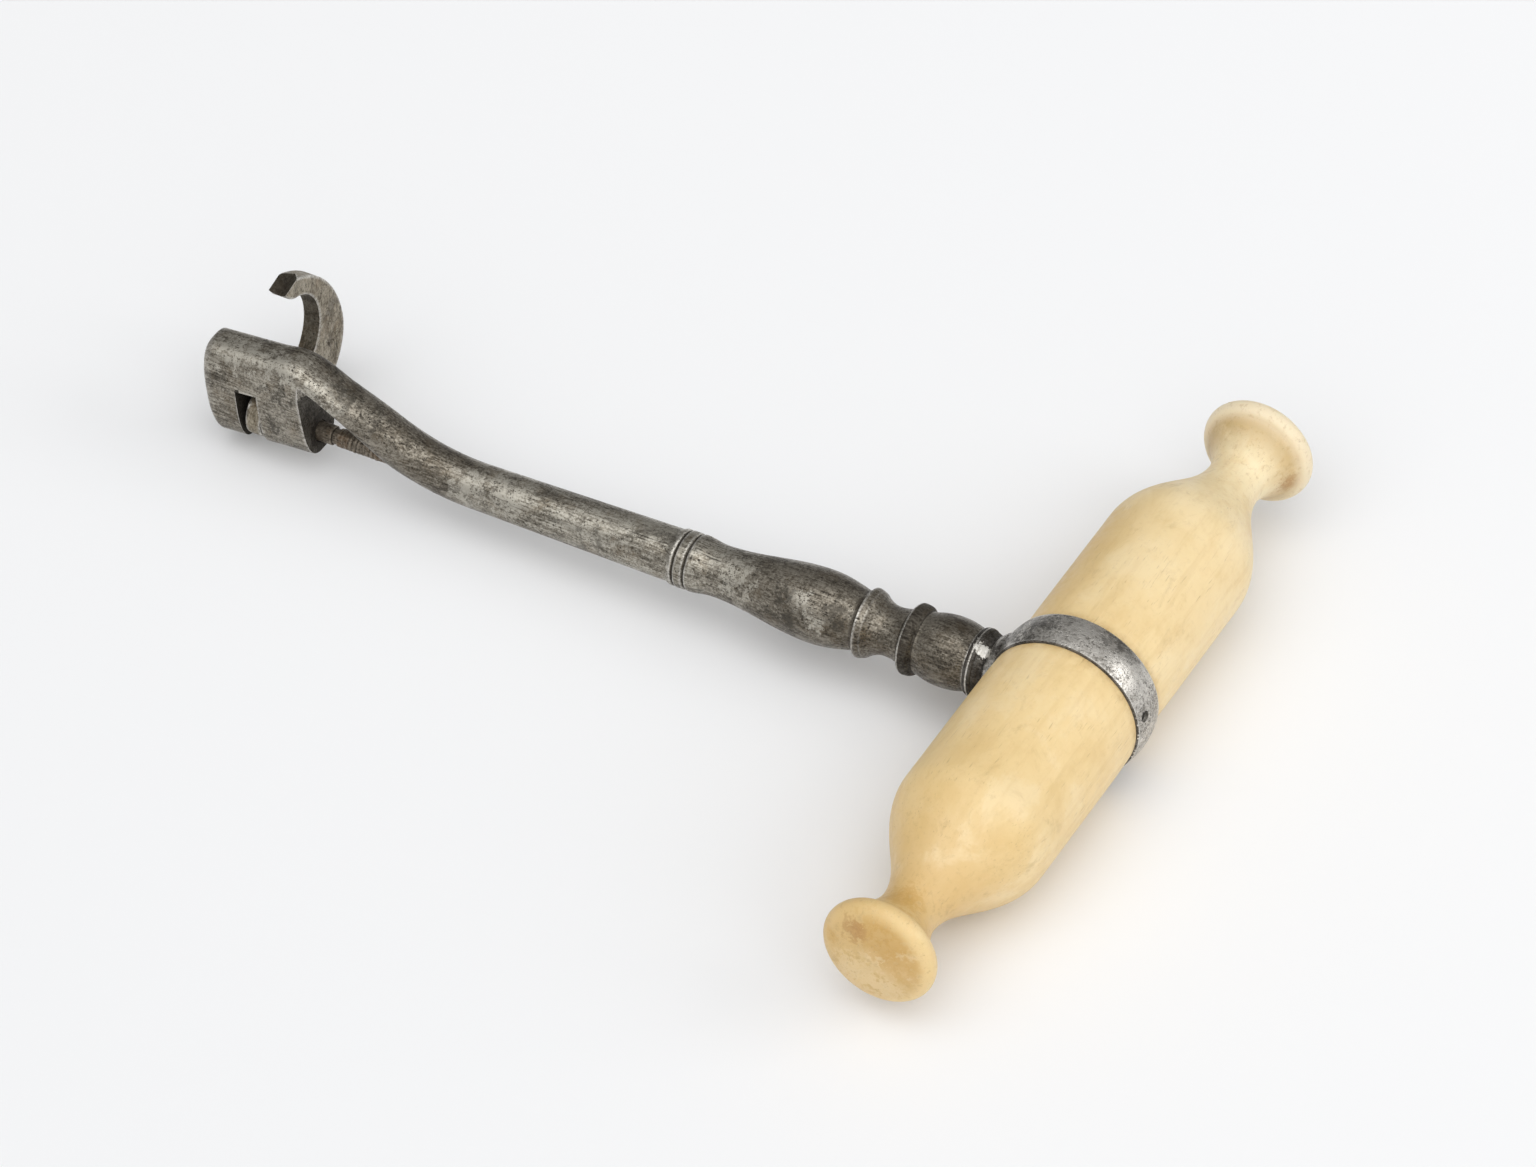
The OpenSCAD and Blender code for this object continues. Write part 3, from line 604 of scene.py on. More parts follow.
corner_r, crown_from = BAND_EDGE_R - CHAMFER_DEEP, BAND_HALF - CHAMFER_W
hoop = chain([(-BAND_HALF, 0), (-BAND_HALF, corner_r)],
             bead((-crown_from, BAND_EDGE_R), (crown_from, BAND_EDGE_R), BAND_CROWN_R),
             [(BAND_HALF, corner_r), (BAND_HALF, 0)])
band = skin("clasp_band", turned(hoop, "handle", 240))
lip, flange_back = FLANGE_R - FLANGE_EDGE, FLANGE_FACE - FLANGE_T
flange_mid = FLANGE_FACE - FLANGE_T / 2
boss = chain([(BOSS_FLARE[0][0], 0)], [(d, BOSS_R + rise) for d, rise in BOSS_FLARE],
             ogee((BOSS_PLAIN, BOSS_R), (flange_back, lip), 8),
             quarter((flange_back, lip), (flange_mid, FLANGE_R)),
             quarter((FLANGE_FACE, lip), (flange_mid, FLANGE_R))[::-1],
             [(FLANGE_FACE, 0)])
carve(band, skin("boss", turned(boss, "shaft", 96)), "UNION")
room = np.array([(-PAST_BAND, 0), (-PAST_BAND, BARREL_NEAR), (-BAND_HALF, BARREL_NEAR),
                 (-BAND_HALF, SEAT), (BAND_HALF, SEAT), (BAND_HALF, BARREL_FAR),
                 (PAST_BAND, BARREL_FAR), (PAST_BAND, 0)])
room[1:-1, 1] += GAP
carve(band, skin("room", turned(room, "handle", 240)))
carve(band, skin("tenon_hole", turned(rod(*TENON_HOLE, TENON_R + GAP), "shaft", 48)))


def along_pin(outline):
    """Carry an outline round the pin's axis, which rises by the pin's angle from x."""
    out, side, up = np.moveaxis(turned(outline, "shaft", 32) * (-1, 1, 1), -1, 0)
    return stack(out * math.cos(PIN_ANGLE) - up * math.sin(PIN_ANGLE), side - PIN_ASIDE,
                 out * math.sin(PIN_ANGLE) + up * math.cos(PIN_ANGLE))


carve(band, skin("pin_hole", along_pin(rod(*PIN_HOLE, PIN_R + GAP))))


def flange_shade(middle):
    """Painted shade: flange and boss neck are black except for the flange's rim, and the band's flat
    sides are dark.
    """
    d = -middle[:, 0]
    rim = np.abs(d - FLANGE_FACE + FLANGE_T / 2) < 0.16
    sides = np.abs(np.abs(middle[:, 1]) - BAND_HALF) < 0.05
    return np.where((d > BOSS_FLARE[-1][0]) & ~rim, 1.0, 0.8 * sides)


finish_piece(band, "handle_band", shade_and_dirt=flange_shade)

# %% [markdown]
# A small pin through the band keeps the handle from turning. Its end was driven
# below the surface and is dished by the punch. A plain cylinder would fit as well;
# the dish and the bevel are what the eye sees.

# %% Pin
PIN_SUNK, PIN_LENGTH = 0.45, 7.0
PIN_BEVEL_LONG, PIN_BEVEL, PIN_DISH = 0.12, 0.1, 0.15

pin_end = BAND_CROWN_R - PIN_SUNK
dish_r = PIN_R - PIN_BEVEL
dish = np.linspace(1, 0, 8)
pin_outline = chain([(pin_end - PIN_LENGTH, 0), (pin_end - PIN_LENGTH, PIN_R)],
                    [(pin_end - PIN_BEVEL_LONG, PIN_R), (pin_end, dish_r)],
                    stack(pin_end - PIN_DISH * (1 - dish ** 2), dish_r * dish)[1:])
pin = skin("driven_pin", along_pin(pin_outline))
finish_piece(pin, "band_pin")

# %% [markdown]
# The shaft begins as turned work: a barrel bead, two sharp rings with a hollow
# between them, a baluster, a collar with two grooves and a plain stem. Then the
# smith cranked it up and flattened it into the bolster, the upright block that
# rests on the gum. It could be joined from solids; one loft has no seam.

# %% Turned part of the shaft
TENON_END, SHOULDER_AT, SHOULDER_R = 11.0, 14.87, 4.55
BEAD_AT, BEAD_R = 18.9, 5.15
RING_A_AT, RING_A_R, RING_A_HALF = 24.25, 5.2, 1.2
HOLLOW_R, HOLLOW_SHARE, FOOT_R = 3.6, 0.8, 4.1
RING_B_AT, RING_B_R, RING_B_HALF = 31.7, 5.1, 0.9
ROOT_R, BELLY_AT, BELLY_R = 4.4, 39.2, 5.375
THROAT_AT, THROAT_R = 55.2, 3.75
COLLAR_AT, COLLAR_R, GROOVE_PITCH, GROOVE_W, GROOVE_DEEP = 60.0, 4.15, 1.75, 0.5, 0.28
STEM_R, CRANK_R, CRANK_START = 3.85, 3.38, 93.85


def groove(at):
    """Down to the groove's floor and up again, in a quarter of its width each."""
    half, floor = GROOVE_W / 2, COLLAR_R - GROOVE_DEEP
    return [(at - half, COLLAR_R), (at - half / 2, floor), (at + half / 2, floor), (at + half, COLLAR_R)]


bead_end, ring_end = RING_A_AT - RING_A_HALF, RING_A_AT + RING_A_HALF
groove_a, groove_b = COLLAR_AT - GROOVE_PITCH / 2, COLLAR_AT + GROOVE_PITCH / 2
collar_end = groove_b + 2 * GROOVE_W
# The filed crests of the two rings, point by point
ring_a = chain(
    [(bead_end, SHOULDER_R), (bead_end + 0.25, SHOULDER_R + 0.3)],
    quarter((bead_end + 0.35, SHOULDER_R + 0.35), (RING_A_AT + 0.45, RING_A_R)),
    [(RING_A_AT + 0.7, RING_A_R - 0.08), (ring_end - 0.25, FOOT_R + 0.45), (ring_end, FOOT_R)])
ring_b = [(RING_B_AT, RING_B_R), (RING_B_AT + 0.25, RING_B_R), (RING_B_AT + 0.5, ROOT_R + 0.25),
          (RING_B_AT + RING_B_HALF, ROOT_R)]
u = np.linspace(0, 1, 20)
hollow_from, hollow_to = (RING_A_AT + RING_B_AT) / 2, RING_B_AT - RING_B_HALF
cove = curve((ring_end, HOLLOW_R), (hollow_from, FOOT_R), (1 - u) ** 2)[:-1]
hollow = curve((hollow_from, HOLLOW_R), (hollow_to, RING_B_R), HOLLOW_SHARE * u ** 2)
root_at = RING_B_AT + RING_B_HALF + GROOVE_W
swell = curve((root_at, ROOT_R), (BELLY_AT, BELLY_R), np.sin(u * np.pi / 2))
stem = chain(
    [(TENON_END, 0), (TENON_END, TENON_R), (SHOULDER_AT, TENON_R), (SHOULDER_AT, SHOULDER_R)],
    bead((2 * BEAD_AT - bead_end + GROOVE_W, SHOULDER_R), (bead_end - GROOVE_W, SHOULDER_R), BEAD_R),
    ring_a, cove, hollow, ring_b, swell, ogee((BELLY_AT, BELLY_R), (THROAT_AT, THROAT_R), 40),
    ogee((THROAT_AT, THROAT_R), (groove_a - GROOVE_W, COLLAR_R)), groove(groove_a), groove(groove_b),
    ogee((collar_end - GROOVE_W, COLLAR_R), (collar_end + GROOVE_W, STEM_R), 8),
    [(CRANK_START, CRANK_R)])
stem_outline = softened(stem, step=0.16, blur=0.08)
stem_outline[0, 1] = 0
print("stem outline of", len(stem_outline), "points")

# %% [markdown]
# The crank is a bar bent up from the stem. Its middle line is an arc and then a
# straight slope; the section is round at first, and its underside flattens toward
# the bolster, whose section is an oval with full sides. Over some eleven
# millimetres the upper half of the one passes into that of the other, and below it
# the bolster begins with a face across, whose heel leans toward the handle. It
# could be sculpted; formulas keep the sizes of the solids.

# %% Sections of crank and bolster
CRANK_ANGLE, HEEL_R, FLAT_FROM = math.radians(27.3), 31.8, 106.4
END_ABOVE, END_BELOW, END_FULL = 2.39, 0.33, 0.4
BOLSTER_AT, BOLSTER_LONG, BOLSTER_H, BOLSTER_T = 120.8, 15.6, 15.6, 8.2
BOLSTER_MID, BOLSTER_DIP, OVAL = 4.85, math.radians(4.5), 3.0
DIP_COS, DIP_SIN = math.cos(BOLSTER_DIP), math.sin(BOLSTER_DIP)
BLEND_FROM, BLEND_TO, HANG = 115.0, 126.5, 10
HEEL_BACK, HEEL_LONG = 0.75, 5.0
SIDES = 64

crank_sin = math.sin(CRANK_ANGLE)
heel_end = CRANK_START + HEEL_R * crank_sin


def middle_line(d):
    """Height of the crank's middle, an arc and then a straight slope, and the slope's cosine."""
    heel = np.clip((d - CRANK_START) / HEEL_R, 0, crank_sin)
    tilt = np.sqrt(1 - heel ** 2)
    return HEEL_R * (1 - tilt) + np.maximum(d - heel_end, 0) * math.tan(CRANK_ANGLE), tilt


def lobe(v, power):
    """Sign times the 2/power th power: a cosine or sine becomes that of a fuller oval."""
    return np.sign(v) * np.abs(v) ** (2 / power)


def crank_half(d, angle, end):
    """Half of the crank's oval at distance d: round, with its height stretched by the slope, then
    hammered or filed to the height end."""
    height, tilt = middle_line(d)
    flat = ease((d - FLAT_FROM) / (BOLSTER_AT - FLAT_FROM))
    tall = CRANK_R / tilt * (1 - flat) + end * flat
    power = 2 + END_FULL * flat
    y, z = CRANK_R * lobe(np.cos(angle), power), height + tall * lobe(np.sin(angle), power)
    return stack(-d - math.tan(BOLSTER_DIP) * flat * (z - BOLSTER_MID), y, z)


def bolster_half(along, angle, inset=0.0):
    """Half of the bolster's oval at a distance along its dipping middle line, drawn in by an inset."""
    y = (BOLSTER_T / 2 - inset) * lobe(np.cos(angle), OVAL) + 0 * along
    z = (BOLSTER_H / 2 - inset) * lobe(np.sin(angle), OVAL)
    return stack(-BOLSTER_AT - DIP_COS * along - DIP_SIN * z, y,
                 BOLSTER_MID - DIP_SIN * along + DIP_COS * z)


crank_foot = middle_line(BOLSTER_AT)[0]
edge_at = math.asin(((crank_foot - BOLSTER_MID) / (BOLSTER_H / 2)) ** (OVAL / 2))
over, under = np.linspace([0, np.pi], [np.pi, 2 * np.pi], SIDES + 1, axis=1)
over_bolster = np.linspace(edge_at, np.pi - edge_at, SIDES + 1)
under_bolster = np.linspace(np.pi - edge_at, 2 * np.pi + edge_at, SIDES + 1)


def upper_half(d):
    """The crank's top passing into the bolster's: a mix of both by an eased share of the way."""
    share = ease((d - BLEND_FROM) / (BLEND_TO - BLEND_FROM))[..., None]
    return ((1 - share) * crank_half(d, over[None], END_ABOVE)
            + share * bolster_half(d - BOLSTER_AT, over_bolster[None]))


def hung(upper, lower):
    """Shift both ends of the lower half onto the ends of the upper one, fading inwards."""
    fade = np.clip(1 - np.arange(SIDES + 1) / HANG, 0, 1)[None, :, None] ** 2
    return (lower + fade * (upper[:, -1:] - lower[:, :1])
            + fade[:, ::-1] * (upper[:, :1] - lower[:, -1:]))


def ring(upper, lower):
    """Both halves in one closed row: the shared end points come from the upper half."""
    return np.concatenate([upper, lower[:, 1:-1]], 1)


def slanted(points, along):
    """Push the bolster's heel toward the handle by its depth below the crank, fading along it."""
    heel_low = BOLSTER_MID - BOLSTER_H / 2
    depth = np.clip((crank_foot - points[..., 2]) / (crank_foot - heel_low), 0, 1)
    return points + HEEL_BACK * (depth * (1 - ease(along / HEEL_LONG)))[..., None] * (1, 0, 0)


print("bolster's top begins at", round(edge_at, 3), "radians")

# %% [markdown]
# The loft runs through six sets of sections: the stem, the crank, the face across,
# the bolster with its edges eased, the rounding of the tip, which is fuller at the
# chin, and the tip's end face.

# %% Loft of the shaft
CRANK_ROWS, FACE_ROWS, BLOCK_ROWS, TIP_ROWS = 75, 11, 44, 13
TIP_ROUND, CHIN_ROUND = 0.55, 1.4
FACE_INSET, EASED_INSET = 0.15, 0.05

d = np.linspace(CRANK_START, BOLSTER_AT, CRANK_ROWS + 1)[1:, None]
crank_top = upper_half(d)
crank_rings = ring(crank_top, hung(crank_top, crank_half(d, under[None], END_BELOW)))
d = np.array([[BOLSTER_AT]])
face_top = upper_half(d)
face_under = hung(face_top, crank_half(d, under[None], END_BELOW))
face_low = hung(face_top, bolster_half(d - BOLSTER_AT, under_bolster[None], FACE_INSET))
share = np.linspace(0, 1, FACE_ROWS + 1)[1:, None, None]
face_rings = ring(np.repeat(face_top, FACE_ROWS, 0), face_under + (face_low - face_under) * share)
face_rings = slanted(face_rings, np.zeros((1, 1)))
plain_rows = np.linspace(0.5, BOLSTER_LONG - CHIN_ROUND, BLOCK_ROWS)
d = BOLSTER_AT + chain([0.05, 0.2], plain_rows)[:, None]
inset = np.where(d < BOLSTER_AT + 0.1, EASED_INSET, 0.0)
block_top = upper_half(d)
block_low = hung(block_top, bolster_half(d - BOLSTER_AT, under_bolster[None], inset))
block_rings = slanted(ring(block_top, block_low), d - BOLSTER_AT)

angle = chain(over_bolster, under_bolster[1:-1])[None]
corner = TIP_ROUND + (CHIN_ROUND - TIP_ROUND) * ease(0.2 - np.sin(angle))
turn = np.linspace(0, np.pi / 2, TIP_ROWS + 1)[1:, None]
tip_rings = bolster_half(BOLSTER_LONG - corner * (1 - np.sin(turn)), angle, corner * (1 - np.cos(turn)))
centre = tip_rings[-1:].mean(1, keepdims=True)
close = np.linspace(1, 0, TIP_ROWS + 1)[1:, None, None]
tip_face = centre + (tip_rings[-1:] - centre) * close

a = chain(over, under[1:-1])
along_x, radius = stem_outline[:, :1], stem_outline[:, 1:]
stem_rings = stack(np.repeat(-along_x, len(a), 1), radius * np.cos(a), radius * np.sin(a))
loft = chain(stem_rings, crank_rings, face_rings, block_rings, tip_rings, tip_face)
shaft = skin("cranked_shaft", loft)
print("shaft loft of", len(shaft.data.vertices), "points")

# %% [markdown]
# Two cuts finish the bolster: the slot for the claw, sawn square to the dipping
# bolster and open below and at both sides, and, on the shaft's axis, the screw's
# bore with a recess for the head and a narrower hole on into the crank. A loft
# can't hold holes, so closed tools cut them.

# %% Slot and bore
SLOT_W, SLOT_TOP = 3.5, 6.0
BORE_R, BORE_PLAY, TAP_R, TAP_TO = 1.53, 0.1, 1.47, BOLSTER_AT - 2
HEAD_SEAT, HEAD_R, HEAD_H, HEAD_PLAY = 134.447, 2.5, 1.6, 0.15
THREAD_END, PAST_TIP = 103.299, 140


def oblong(wide, low, high):
    """Corners of a rectangle that is wide to both sides."""
    return np.array([(-wide, low), (wide, low), (wide, high), (-wide, high)])


def prism(corners, start, end):
    """A closed bar: the first number runs from start to end, the others go round the corners."""
    middle = corners.mean(0)
    spread = np.array([0, 1, 1, 0])[:, None, None]
    places = np.array([start, start, end, end])[:, None, None]
    places = np.broadcast_to(places, (4, len(corners), 1))
    return np.concatenate([places, middle + (corners - middle) * spread], -1)


slot = prism(oblong(BOLSTER_T, -BOLSTER_H, SLOT_TOP), -SLOT_W / 2, SLOT_W / 2)
across, side, up = np.moveaxis(slot, -1, 0)
slot = stack(DIP_COS * across - DIP_SIN * up - CLAW_AT, side, DIP_SIN * across + DIP_COS * up)
carve(shaft, skin("slot", slot))
seat, room_r = HEAD_SEAT - GAP, HEAD_R + HEAD_PLAY
bore = np.array([(THREAD_END, 0), (THREAD_END, TAP_R), (TAP_TO, TAP_R), (TAP_TO, BORE_R + BORE_PLAY),
                 (seat, BORE_R + BORE_PLAY), (seat, room_r), (PAST_TIP, room_r), (PAST_TIP, 0)])
carve(shaft, skin("bore", turned(bore, "shaft", 48)))


def shaft_shade(middle):
    """Painted shade: the slot and the bore are black, the face across below the crank is nearly so,
    and the first ring is dark toward the handle."""
    x, y, z = middle.T
    plain_face = stack(-BOLSTER_AT - DIP_SIN * (z - BOLSTER_MID), y, z)
    face = (np.abs(x - slanted(plain_face, np.zeros(1))[:, 0]) < 0.12) & (z < 8)
    sawn = np.abs(DIP_COS * (x + CLAW_AT) + DIP_SIN * z) < SLOT_W / 2 + 0.01
    sawn &= (np.abs(y) < BOLSTER_T / 2 - 0.02) & (z < SLOT_TOP + 0.1)
    bored = (np.hypot(y, z) < HEAD_R + 0.2) & (x < -THREAD_END) & (x > -HEAD_SEAT - HEAD_H - 1)
    flank = (x < RING_A_HALF + 0.3 - RING_A_AT) & (x > -RING_A_AT - 0.4)
    return np.maximum(0.8 * face + 0.75 * flank, 1.0 * (sawn | bored))


finish_piece(shaft, "shaft", shade_and_dirt=shaft_shade)

# %% [markdown]
# The claw is a hook forged flat and filed to shape: a round eye on the screw, a
# belly that hangs below, and a back that curls over to two points. A flat outline
# could be thickened and bevelled; a section carried along the hook keeps its
# corners even to the tip. So rays from the middle of the inner curve pair the
# points of its inner and outer edge.

# %% Edges of the claw
EYE_R, BORDER = 3.5, 40
FLANK_MID, FLANK_R = np.array([10.5, 2.6]), 9.5
BACK_R, BACK_FROM, BACK_TO = 19.5, math.radians(10), math.radians(72)
GAPE_MID, GAPE_R, GAPE_TO = np.array([5.95, 8.0]), 7.75, math.radians(74)
NOSE_R, NOSE_TO, TIP_SWELL = 1.2, math.radians(185), 0.4
EYE_ROWS, GAPE_ROWS, NOSE_ROWS = 26, 110, 34


def unit(t):
    """Vectors of length one at these angles."""
    return stack(np.cos(t), np.sin(t))


def arc(mid, r, start, end, n):
    """Points on a circle, in even steps of angle."""
    return mid + r * unit(np.linspace(start, end, n))


def heading(v):
    """Angle of a vector."""
    return np.arctan2(v[..., 1], v[..., 0])


back_mid = FLANK_MID - (BACK_R - FLANK_R) * unit(BACK_FROM)
nose = arc(back_mid + (BACK_R - NOSE_R) * unit(BACK_TO), NOSE_R, BACK_TO, NOSE_TO, BORDER)
point = nose[-1]
under_at = heading(FLANK_MID) - math.acos((EYE_R - FLANK_R) / np.hypot(*FLANK_MID))
reach = np.hypot(*GAPE_MID)
meet_at = heading(GAPE_MID) - math.acos((EYE_R ** 2 - GAPE_R ** 2 + reach ** 2) / (2 * reach * EYE_R))
eye_back = (under_at + meet_at - 2 * np.pi) / 2

gape = arc(GAPE_MID, GAPE_R, heading(EYE_R * unit(meet_at) - GAPE_MID), GAPE_TO, GAPE_ROWS)
outside = chain(arc(0, EYE_R, under_at, under_at, 1),
                arc(FLANK_MID, FLANK_R, under_at, BACK_FROM, 300),
                arc(back_mid, BACK_R, BACK_FROM, BACK_TO, 300))
outside = softened(outside, step=0.05, blur=0.05)
aim = np.unwrap(heading(outside - GAPE_MID))
belly = np.stack([np.interp(heading(gape - GAPE_MID), aim, c) for c in outside.T], -1)
run = point - gape[-1]
u = np.linspace(0, 1, BORDER)[:, None]
bulge = TIP_SWELL * (1 - (2 * u - 1) ** 2) * np.array([-run[1], run[0]]) / np.hypot(*run)
swelling = gape[-1] + run * u + bulge
first = outside[aim < heading(gape[0] - GAPE_MID)]
last = outside[aim > heading(gape[-1] - GAPE_MID)]
eye_out = chain(arc(0, EYE_R, eye_back, under_at, BORDER), first, belly[:1])
eye_in = chain(arc(0, EYE_R, eye_back, meet_at - 2 * np.pi, BORDER), gape[:1])
nose_out = chain(belly[-1:], last, nose)
outer = chain(spaced(eye_out, EYE_ROWS)[:-1], belly, spaced(nose_out, NOSE_ROWS)[1:])
inner = chain(spaced(eye_in, EYE_ROWS)[:-1], gape, spaced(swelling, NOSE_ROWS)[1:])
print("claw's edges paired at", len(outer), "places")

# %% [markdown]
# The section is a rectangle with rounded corners, written once for all places:
# each point is a share of the breadth from the inner edge to the outer one, of the
# rounding along it, of half the thickness and of the rounding across. Its second
# half is the first one turned about the middle.

# %% Claw
EYE_T, HOOK_T, THICK_FROM, THICK_OVER = 2.4, 2.8, 8, 4
CLAW_ROUND, ROUND_SHARE = 0.26, 0.3

k = np.linspace(0, 1, 13)
side = np.array([k, 1 - 2 * k, np.ones(13), np.zeros(13)])
one, (cosine, sine) = np.ones(2), unit(np.radians([30, 60])).T
near_corner = np.array([one, sine - 1, one, cosine - 1])
k = np.linspace(1, -1, 7)
edge = np.array([np.ones(7), np.zeros(7), k, -k])
far_corner = np.array([one, cosine - 1, -one, 1 - sine])
half_loop = np.concatenate([side, near_corner, edge, far_corner], 1)
turn_back = np.array([1 - half_loop[0], *-half_loop[1:]])
loop = np.concatenate([half_loop, turn_back], 1)

breadth = np.hypot(*(outer - inner).T)[:, None]
toward = (outer - inner) / np.maximum(breadth, TINY)
rounding = np.minimum(CLAW_ROUND, ROUND_SHARE * breadth)
out = loop[0] * breadth + loop[1] * rounding
side, up = inner[:, :1] + toward[:, :1] * out, inner[:, 1:] + toward[:, 1:] * out
thick = EYE_T + (HOOK_T - EYE_T) * np.clip((np.hypot(side, up) - THICK_FROM) / THICK_OVER, 0, 1)
claw = skin("hooked_claw", stack(-CLAW_AT + loop[2] * thick / 2 + loop[3] * rounding, side, up))
print("claw section of", loop.shape[1], "points")

# %% [markdown]
# The hook's end is split by a V notch, filed across the tip with a three-square
# file, into two points that bite the tooth, and the eye is drilled for the screw.
# Both are cut with closed tools, as on the bench.

# %% Notch and eye
NOTCH_LONG, NOTCH_DEEP, NOTCH_FLARE = 5.1, 1.5, 1.1
FILE_TALL, FILE_PAST, DRILL_PAST = 6, 2, 3

foot = point - np.array([0, NOTCH_DEEP])
head_y = point[0] + NOTCH_LONG
head_z = back_mid[1] + math.sqrt(BACK_R ** 2 - (head_y - back_mid[0]) ** 2)
way = np.array([head_y, head_z]) - foot
long = np.hypot(*way)
way /= long
vee = np.array([(0.0, 0.0), (NOTCH_FLARE, 1.0), (-NOTCH_FLARE, 1.0)]) * FILE_TALL
run, side, up = np.moveaxis(prism(vee, -FILE_PAST, long + FILE_PAST), -1, 0)
wedge = stack(side - CLAW_AT, foot[0] + run * way[0] - up * way[1],
              foot[1] + run * way[1] + up * way[0])
carve(claw, skin("wedge", wedge))
eye = turned(rod(CLAW_AT - DRILL_PAST, CLAW_AT + DRILL_PAST, BORE_R), "shaft", 48)
carve(claw, skin("eye", eye))


def claw_darkening(middle):
    """The notch's walls and the eye are made nearly black, the inner curve half dark."""
    x, y, z = middle.T
    up = (z - foot[1]) * way[0] - (y - foot[0]) * way[1]
    run = (z - foot[1]) * way[1] + (y - foot[0]) * way[0]
    filed = (np.abs(np.abs(x + CLAW_AT) - NOTCH_FLARE * up) < 0.02) & (run > -1) & (run < long + 1)
    inside = np.hypot(y - GAPE_MID[0], z - GAPE_MID[1]) < GAPE_R + 0.08
    drilled = np.hypot(y, z) < BORE_R + 0.05
    return np.maximum(0.6 * inside, 0.95 * (filed | drilled))


finish_piece(claw, "claw", body="claw", shade_and_dirt=claw_darkening)

# %% [markdown]
# The claw turns on a long screw: a slotted head sunk in the tip, a plain shank,
# an undercut, and a thread that bites into the crank. The thread shows in the open
# gap, so a bump in the finish would not do. It is a ridge that climbs one pitch a
# turn: the radius goes by the place along the screw less the angle's share.

# %% Screw
SHANK_R, THREAD_R, THREAD_ROOT, PITCH = 1.45, 1.45, 1.35, 0.72
THREAD_START, UNDERCUT_R, UNDERCUT_W = 116.599, 1.15, 0.9
CREST_CUT, RUN_OUT = 1.25, 0.6
HEAD_EDGE, DRIVE_W, DRIVE_DEEP, DRIVE_HALF = 0.25, 0.8, 0.8, 4.0
SCREW_SIDES = 40

undercut_end = THREAD_START + UNDERCUT_W
plain = np.array([(HEAD_SEAT, SHANK_R), (undercut_end, SHANK_R), (undercut_end, UNDERCUT_R),
                  (THREAD_START, UNDERCUT_R), (THREAD_START, THREAD_ROOT)])
plain = softened(plain, step=0.12, blur=0.05)
a = np.linspace(0, 2 * np.pi, SCREW_SIDES, endpoint=False)
down = np.linspace(THREAD_START, THREAD_END + GAP, 300)[:, None]
phase = (down / PITCH - a / (2 * np.pi)) % 1
ridge = (THREAD_R - THREAD_ROOT) * np.clip(CREST_CUT * (1 - np.abs(2 * phase - 1)), 0, 1)
left = 0.45 + 0.35 * np.sin(1.9 * down + 1.4 * np.cos(a)) + 0.2 * np.sin(5.3 * down + 2 * np.sin(2 * a))
ridge = THREAD_ROOT + ridge * left * ease((THREAD_START - down) / RUN_OUT)
thread = stack(-down + 0 * a, ridge * np.cos(a), ridge * np.sin(a))
end = thread[-1:] * (1, 0, 0)
top = HEAD_SEAT + HEAD_H
head = chain([(top, r) for r in (0, 0.8, 1.6, 2.2)],
             quarter((top - HEAD_EDGE, HEAD_R), (top, HEAD_R - HEAD_EDGE), 5)[::-1],
             [(HEAD_SEAT, HEAD_R)])
head = turned(chain(head, plain), "shaft", SCREW_SIDES)
screw = skin("long_screw", chain(head, thread, end))
drive = oblong(DRIVE_HALF, -DRIVE_W / 2, DRIVE_W / 2)
carve(screw, skin("drive", prism(drive, -top - 1, -top + DRIVE_DEEP)))
finish_piece(screw, "claw_screw")

# %% [markdown]
# The table is white paper that fills the view. The studio is very soft. Lamps all
# round could light it; here nearly all light comes from a pale room, brighter over
# the camera and to the right, brightest in a patch high in front, and dim low down
# behind the tool, which gives the iron its dark upper edge. One weak lamp at the
# right behind it puts a gleam on the band.

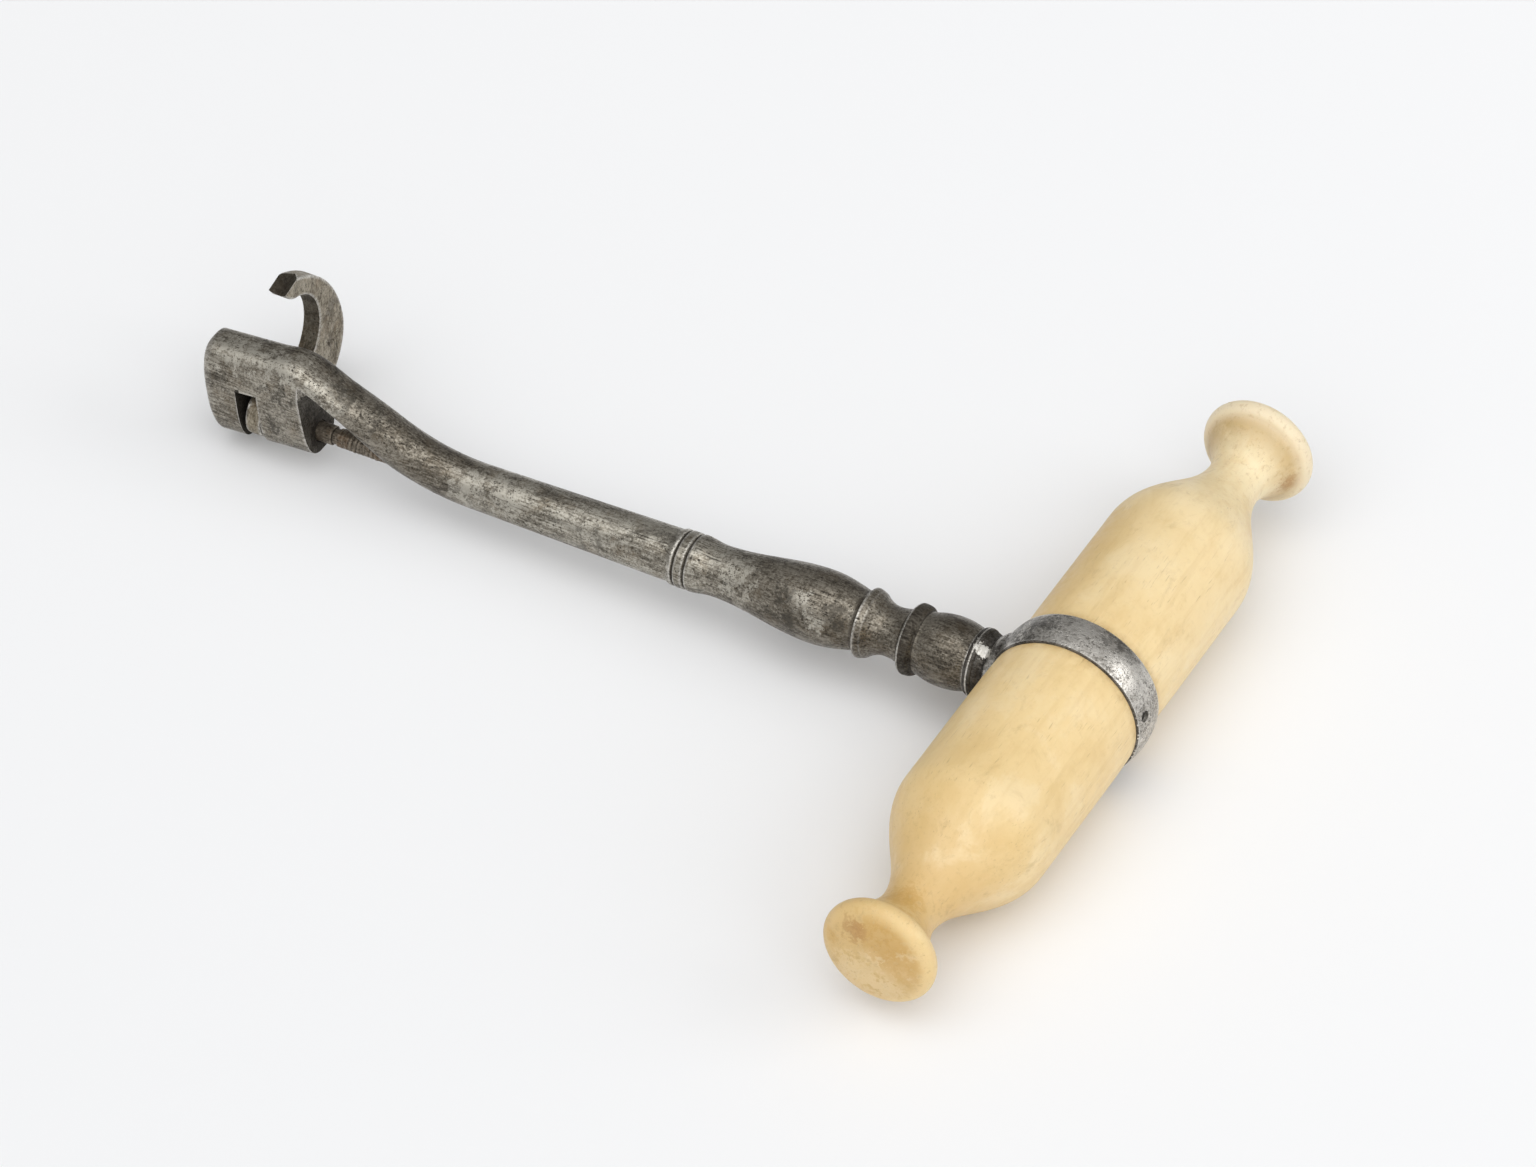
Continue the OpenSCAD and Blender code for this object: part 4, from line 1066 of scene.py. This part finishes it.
# %% Table and light
TABLE_HALF, PAPER = 2.5, (0.9, 0.905, 0.915, 1)
LAMP_AT, LAMP_AIM, LAMP_SIZE, LAMP_POWER = (0.85, 0.32, 0.5), (0.06, 0.0, 0.0), 0.6, 1.9
ROOM = (0.45, -0.6, 0.66), -0.45, 0.85, 0.22, 0.6, "LINEAR"
PATCH = (0.12, -0.5, 0.86), 0.62, 0.97, 0.0, 1.5, "SMOOTHSTEP"

mesh = bpy.data.meshes.new("table")
corners = oblong(TABLE_HALF, -TABLE_HALF, TABLE_HALF).tolist()
mesh.from_pydata([(x, y, 0) for x, y in corners], [], [(0, 1, 2, 3)])
paper = Finish(bpy.data.materials.new("paper"), Base_Color=PAPER, Roughness=0.9,
               Specular_IOR_Level=0.1)
mesh.materials.append(paper.owner)
top = placed("table", mesh)

light = bpy.data.lights.new("gleam_lamp", "AREA")
light.shape, light.size, light.energy = "SQUARE", LAMP_SIZE, LAMP_POWER
lamp = placed("gleam_lamp", light)
lamp.location = LAMP_AT
way = Vector([to - at for to, at in zip(LAMP_AIM, LAMP_AT)])
lamp.rotation_euler = way.to_track_quat("-Z", "Y").to_euler()

room = Finish(bpy.data.worlds.new("room"), "Background", "Generated", Color=(1, 1, 1, 1))


def glow(way, *spread):
    """Strength by the cosine between a way and the direction looked in, from one spread to another."""
    return room.remap(room.vector("DOT_PRODUCT", room.place, way)["Value"], *spread)


both = room.math("ADD", glow(*ROOM), glow(*PATCH))
room.tree.links.new(both, room.shader.inputs["Strength"])
scene.world = room.owner

# %% [markdown]
# The camera looks down at the tool from the near right with a long lens, as the
# photograph does. It could be aimed by eye; its place and turn were fitted to the
# outline of the handle and the shaft, so that both pictures can be laid together.

# %% Camera
CAMERA_AT = (0.42733, -0.7882, 0.83891)
CAMERA_TURN = (47.0275, -0.9865, 28.5467)
LENS, SENSOR = 205.011, 36.0

lens = bpy.data.cameras.new("camera")
lens.lens, lens.sensor_width, lens.sensor_fit = LENS, SENSOR, "HORIZONTAL"
lens.clip_start, lens.clip_end = 0.05, 20.0
camera = placed("camera", lens)
camera.location = CAMERA_AT
camera.rotation_euler = Euler([math.radians(t) for t in CAMERA_TURN], "XYZ")
scene.camera = camera
scene.view_settings.view_transform = "Standard"
print("camera with a lens of", round(lens.lens), "mm")
